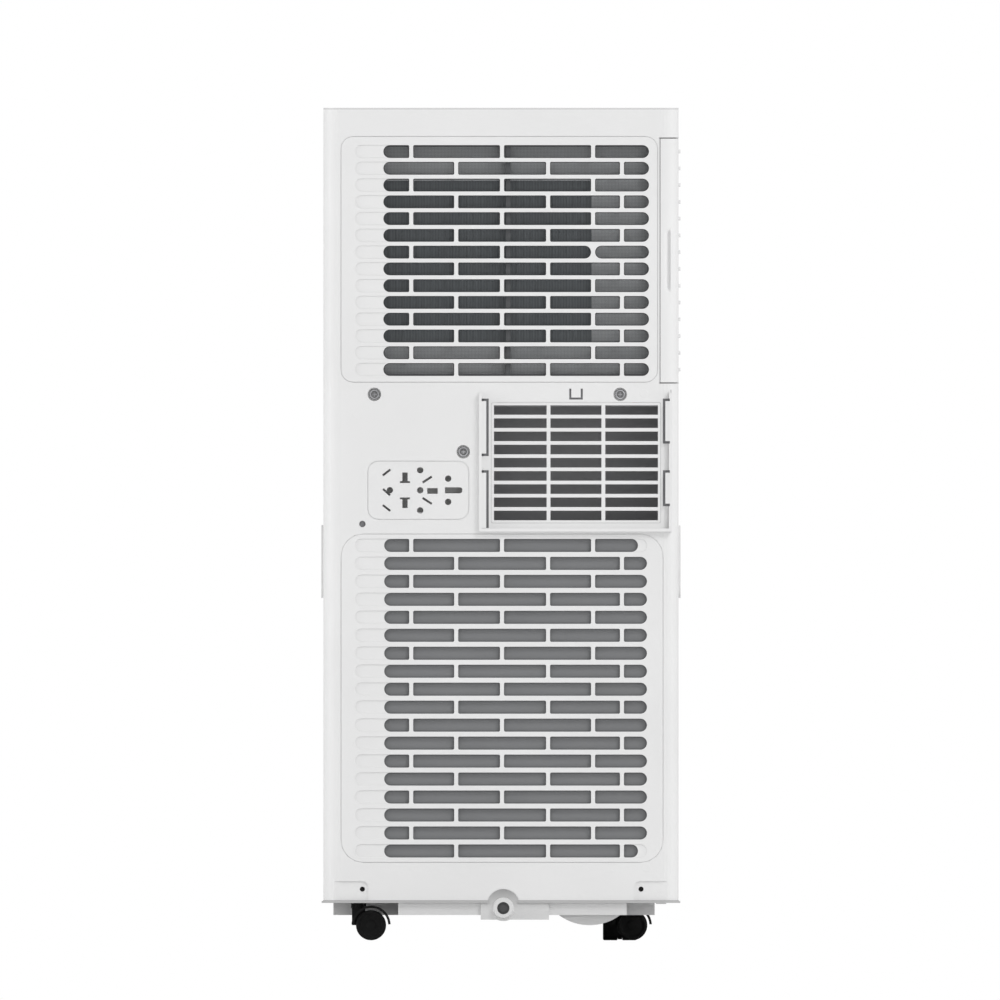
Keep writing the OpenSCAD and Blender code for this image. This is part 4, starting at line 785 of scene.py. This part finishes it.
def build_arch_plate():
    """Front skin of the drain block, set in the panel's arch around the spout; its grey darkens towards the top as
    painted shade of the recessed arch.
    """
    spout_x, _, spout_z = mount_place("drain_spout")
    arch_r, arch_z, deck_z = 13.3 * MM, spout_z + 2.6 * MM, spout_z + 4.3 * MM
    x0, x1, z0 = spout_x - 19.1 * MM, spout_x + 38.5 * MM, spout_z - 9.7 * MM
    rise = math.degrees(math.asin((deck_z - arch_z) / arch_r))
    crown = arc(spout_x, arch_z, arch_r, rise, 180 - rise, 24)
    outer = [(x0, z0), (x1, z0), (x1, deck_z)] + crown + [(x0, deck_z)]
    hole_r, proud, sunk, edge = 8.7 * MM, 0.15 * MM, 0.35 * MM, 0.06 * MM
    skin = plate("arch_plate", outer, [circle(spout_x, spout_z, hole_r)],
                 REAR_Y - proud, REAR_Y + sunk, edge)
    add_piece("arch_plate", skin, "cabinet", "arch_grey_painted_shade")


def build_clip_backs():
    """Grey plates a little way behind the clip slots and the latch slot above the exhaust grille."""
    lo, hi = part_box("exhaust_grille")
    y0, y1 = REAR_Y + WALL + 0.06 * MM, REAR_Y + WALL + 0.24 * MM
    plates = [((lo.x - 7.2 * MM, y0, lo.z - 8 * MM), (lo.x - 0.5 * MM, y1, hi.z + 11 * MM)),
              ((hi.x + 0.4 * MM, y0, lo.z + 10 * MM), (hi.x + 9 * MM, y1, hi.z + 11 * MM)),
              ((lo.x + 64 * MM, y0, hi.z + 1 * MM), (lo.x + 80 * MM, y1, hi.z + 14 * MM))]
    add_piece("clip_backs", bars("clip_backs", plates), "cabinet", "slot_grey")


def build_hole_back():
    """Grey disc with a small boss, just behind the accessory hole."""
    hole_x, _, hole_z = mount_place("accessory_hole")
    y = REAR_Y + WALL + 0.46 * MM
    profile = [(0, -0.3 * MM), (0.7 * MM, -0.25 * MM), (1.2 * MM, 0), (3.4 * MM, 0), (3.4 * MM, 0.6 * MM),
               (0, 0.6 * MM)]
    disc = placed(lathe(profile, 40), (hole_x, y, hole_z), (0, 1, 0))
    smooth(add_piece("hole_back", disc, "cabinet", "slot_grey"))


def shade_strip_rings(work):
    """Section rings of the strip from the front left, round the rear, to the front right."""
    z0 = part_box("rear_panel")[0].z
    front_y = 38 * MM
    corner_x, corner_y = HALF_W - CORNER_R, REAR_Y + CORNER_R
    out, back, fold = CORNER_R + 0.22 * MM, CORNER_R - 0.4 * MM, CORNER_R + 1.3 * MM
    skin, high, low = 0.15 * MM, 0.7 * MM, 1.6 * MM
    section = ((back, z0), (fold, z0), (fold, z0 - low), (fold + skin, z0 - low), (fold + skin, z0 + skin),
               (out, z0 + skin), (out, z0 + high), (back, z0 + high))
    path = [(-corner_x, front_y, 180)]
    path += [(-corner_x, corner_y, 180 + 90 * i / 12) for i in range(13)]
    path += [(corner_x, corner_y, 270 + 90 * i / 12) for i in range(13)]
    path += [(corner_x, front_y, 0)]
    rings = []
    for cx, cy, degrees in path:
        way = Vector((math.cos(math.radians(degrees)), math.sin(math.radians(degrees)), 0))
        rings.append([work.verts.new(Vector((cx, cy, 0)) + way * reach + Vector((0, 0, z)))
                      for reach, z in section])
    return rings


def build_shade_strip():
    """Grey strip along the joint of the rear panel and the base flange, folded down over the flange's edge:
    painted shade of the shadow line under the panel and of the shaded flange.

    It stops on both sides of the drain arch."""
    work = bmesh.new()
    rings = shade_strip_rings(work)
    count = len(rings[0])
    for a, b in zip(rings, rings[1:]):
        for i in range(count):
            work.faces.new((a[i], a[(i + 1) % count], b[(i + 1) % count], b[i]))
    work.faces.new(rings[0])
    work.faces.new(rings[-1])
    bmesh.ops.recalc_face_normals(work, faces=work.faces)
    arch_x, arch_half = 2 * MM, 12.2 * MM
    for side in (-1, 1):
        bmesh.ops.bisect_plane(work, geom=work.verts[:] + work.edges[:] + work.faces[:],
                               plane_co=(arch_x + side * arch_half, 0, 0), plane_no=(1, 0, 0))
    cut = [f for f in work.faces if abs(f.calc_center_median().x - arch_x) < arch_half]
    bmesh.ops.delete(work, geom=cut, context="FACES")
    mesh = bpy.data.meshes.new("base_shade_strip")
    work.to_mesh(mesh)
    work.free()
    add_piece("base_shade_strip", mesh, "cabinet", "shade_strip_grey")


build_spout()
build_dimples()
build_wheels()
build_arch_plate()
build_clip_backs()
build_hole_back()
build_shade_strip()


# ---- Controls ----

def laid_flat(mesh, centre, top):
    """Lays an XZ plate flat, readable from the front, with its face at height top."""
    turn = Matrix.Rotation(math.pi, 4, "Z") @ Matrix.Rotation(-math.pi / 2, 4, "X")
    mesh.transform(Matrix.Translation((centre[0], centre[1], top)) @ turn)
    return mesh


def strip(length, width, degrees, along=0.0, across=0.0):
    """Outline in mm of a bar turned about the origin."""
    turn = math.radians(degrees)
    ways = (math.cos(turn), math.sin(turn)), (-math.sin(turn), math.cos(turn))
    return [((along + u * length / 2) * ways[0][0] + (across + v * width / 2) * ways[1][0],
             (along + u * length / 2) * ways[0][1] + (across + v * width / 2) * ways[1][1])
            for u, v in ((-1, -1), (1, -1), (1, 1), (-1, 1))]


# Outlines in mm; no letters
ICONS = {
    "power": [arc(0, 0, 3.0, -235, 55, 24) + arc(0, 0, 2.3, 55, -235, 24), strip(2.6, 0.7, 90, 2.3)],
    "mode": [strip(6.4, 0.6, degrees) for degrees in (0, 60, 120)],
    "speed": [strip(h, 1.1, 90, h / 2 - 2.5, -x) for x, h in ((-2.2, 2.0), (0, 3.4), (2.2, 5.0))],
    "down": [[(-2.7, 1.6), (0, -2.4), (2.7, 1.6)]],
    "up": [[(-2.7, -1.6), (2.7, -1.6), (0, 2.4)]],
}


def build_icons():
    """Thin black icons on the buttons' faces."""
    thick = 0.12 * MM
    for key, outlines in ICONS.items():
        lo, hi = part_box("button_" + key)
        centre = ((lo.x + hi.x) / 2, (lo.y + hi.y) / 2)
        parts = []
        for outline in outlines:
            scaled = [(x * MM, z * MM) for x, z in outline]
            parts.append(laid_flat(plate("icon", scaled, [], 0, thick, 0.02 * MM), centre, hi.z + thick))
        add_piece("icon_" + key, join_meshes("icon_" + key, parts), "button_" + key, "fascia_black")


def build_display():
    """Tinted window with a rounded edge, and lit dots and bars just above its face."""
    lo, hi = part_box("display_window")
    centre = ((lo.x + hi.x) / 2, (lo.y + hi.y) / 2)
    half_x, half_y = (hi.x - lo.x) / 2, (hi.y - lo.y) / 2
    face = hi.z - 0.15 * MM
    outline = rounded(-half_x, half_x, -half_y, half_y, 2 * MM)
    glass = plate("display_glass", outline, [], 0, face - lo.z, 0.15 * MM)
    smooth(add_piece("display_glass", laid_flat(glass, centre, face), "cabinet", "display_glass",
                     ["display_window"]))
    dot_x0, dot_pitch, dot_z, dot_r = -24, 7, 5.5, 1.0    # in mm, like the bars
    bar_x0, bar_pitch, bar_w, bar_foot, first_top, rise = 2, 4.2, 2.6, -6, -3.5, 1.6
    lit = [circle((dot_x0 + dot_pitch * i) * MM, dot_z * MM, dot_r * MM, 20) for i in range(3)]
    for i in range(6):
        x, bar_top = (bar_x0 + bar_pitch * i) * MM, (first_top + rise * i) * MM
        lit.append(rounded(x, x + bar_w * MM, bar_foot * MM, bar_top, 0.5 * MM, steps=3))
    thick = 0.1 * MM
    marks = [laid_flat(plate("mark", shape, [], 0, thick, 0.02 * MM), centre, face + thick) for shape in lit]
    add_piece("display_marks", join_meshes("display_marks", marks), "cabinet", "led_glow")


build_icons()
build_display()


# ---- Floor, light and camera ----

def build_stage():
    """Wide pale floor."""
    half = 6.0
    corners = [(-half, -half, 0), (half, -half, 0), (half, half, 0), (-half, half, 0)]
    mesh = bpy.data.meshes.new("floor")
    mesh.from_pydata(corners, [], [(0, 1, 2, 3)])
    floor = bpy.data.objects.new("floor", mesh)
    bpy.context.scene.collection.objects.link(floor)
    mat, nodes, links, shader = new_material("floor_pale")
    coords = object_coords(nodes)
    cloud = noise(nodes, links, coords, 3.0, 3.0)
    links.new(ramp(nodes, links, cloud, 0.76, 0.80), shader.inputs["Base Color"])
    shader.inputs["Roughness"].default_value = 0.8
    mesh.materials.append(mat)


def area_light(name, place, target, size, power):
    light = bpy.data.lights.new(name, "AREA")
    light.shape = "RECTANGLE"
    light.size, light.size_y = size
    light.energy = power
    obj = bpy.data.objects.new(name, light)
    obj.location = place
    obj.rotation_euler = (Vector(target) - Vector(place)).to_track_quat("-Z", "Y").to_euler()
    bpy.context.scene.collection.objects.link(obj)


FILL_STRENGTH, BACKGROUND_STRENGTH = 0.74, 1.0


def build_light():
    """Studio light: a white background for the camera, an even fill, a soft key and low side strips."""
    world = bpy.data.worlds.new("studio")
    bpy.context.scene.world = world
    world.use_nodes = True
    nodes, links = world.node_tree.nodes, world.node_tree.links
    nodes.clear()
    out = nodes.new("ShaderNodeOutputWorld")
    mix = nodes.new("ShaderNodeMixShader")
    path = nodes.new("ShaderNodeLightPath")
    fill = nodes.new("ShaderNodeBackground")
    seen = nodes.new("ShaderNodeBackground")
    fill.inputs["Color"].default_value = (1, 1, 1, 1)
    fill.inputs["Strength"].default_value = FILL_STRENGTH
    seen.inputs["Color"].default_value = (1, 1, 1, 1)
    seen.inputs["Strength"].default_value = BACKGROUND_STRENGTH
    links.new(path.outputs["Is Camera Ray"], mix.inputs["Fac"])
    links.new(fill.outputs[0], mix.inputs[1])
    links.new(seen.outputs[0], mix.inputs[2])
    links.new(mix.outputs[0], out.inputs["Surface"])
    mid = (0, 0, TOP_Z / 2)
    area_light("key", (2.2, -3.2, 3.4), mid, (1.5, 1.5), 62)
    area_light("left_strip", (-2.0, -0.5, 0.6), mid, (0.5, 1.6), 16)
    area_light("right_strip", (2.0, -0.4, 0.6), mid, (0.5, 1.6), 7)
    area_light("low_fill", (0.3, -2.6, 0.35), (0, 0, 0.05), (1.6, 0.4), 7)
    area_light("front_fill", (0.8, 2.8, 2.0), mid, (1.8, 1.8), 26)


FRAME_SCALE = 1.2013      # picture height over the object's height
AIM_SHARE = 0.5289        # height of the picture's middle over the object's height
AIM_X = -0.8 * MM
CAMERA_Y = -4.0


def build_camera():
    """Level view of the back without perspective, as in the photo."""
    camera = bpy.data.cameras.new("camera")
    camera.type = "ORTHO"
    camera.ortho_scale = TOP_Z * FRAME_SCALE
    camera.clip_end = 50
    obj = bpy.data.objects.new("camera", camera)
    obj.location = (AIM_X, CAMERA_Y, TOP_Z * AIM_SHARE)
    obj.rotation_euler = (math.pi / 2, 0, 0)
    bpy.context.scene.collection.objects.link(obj)
    bpy.context.scene.camera = obj
    bpy.context.scene.view_settings.view_transform = "Standard"


build_stage()
build_light()
build_camera()
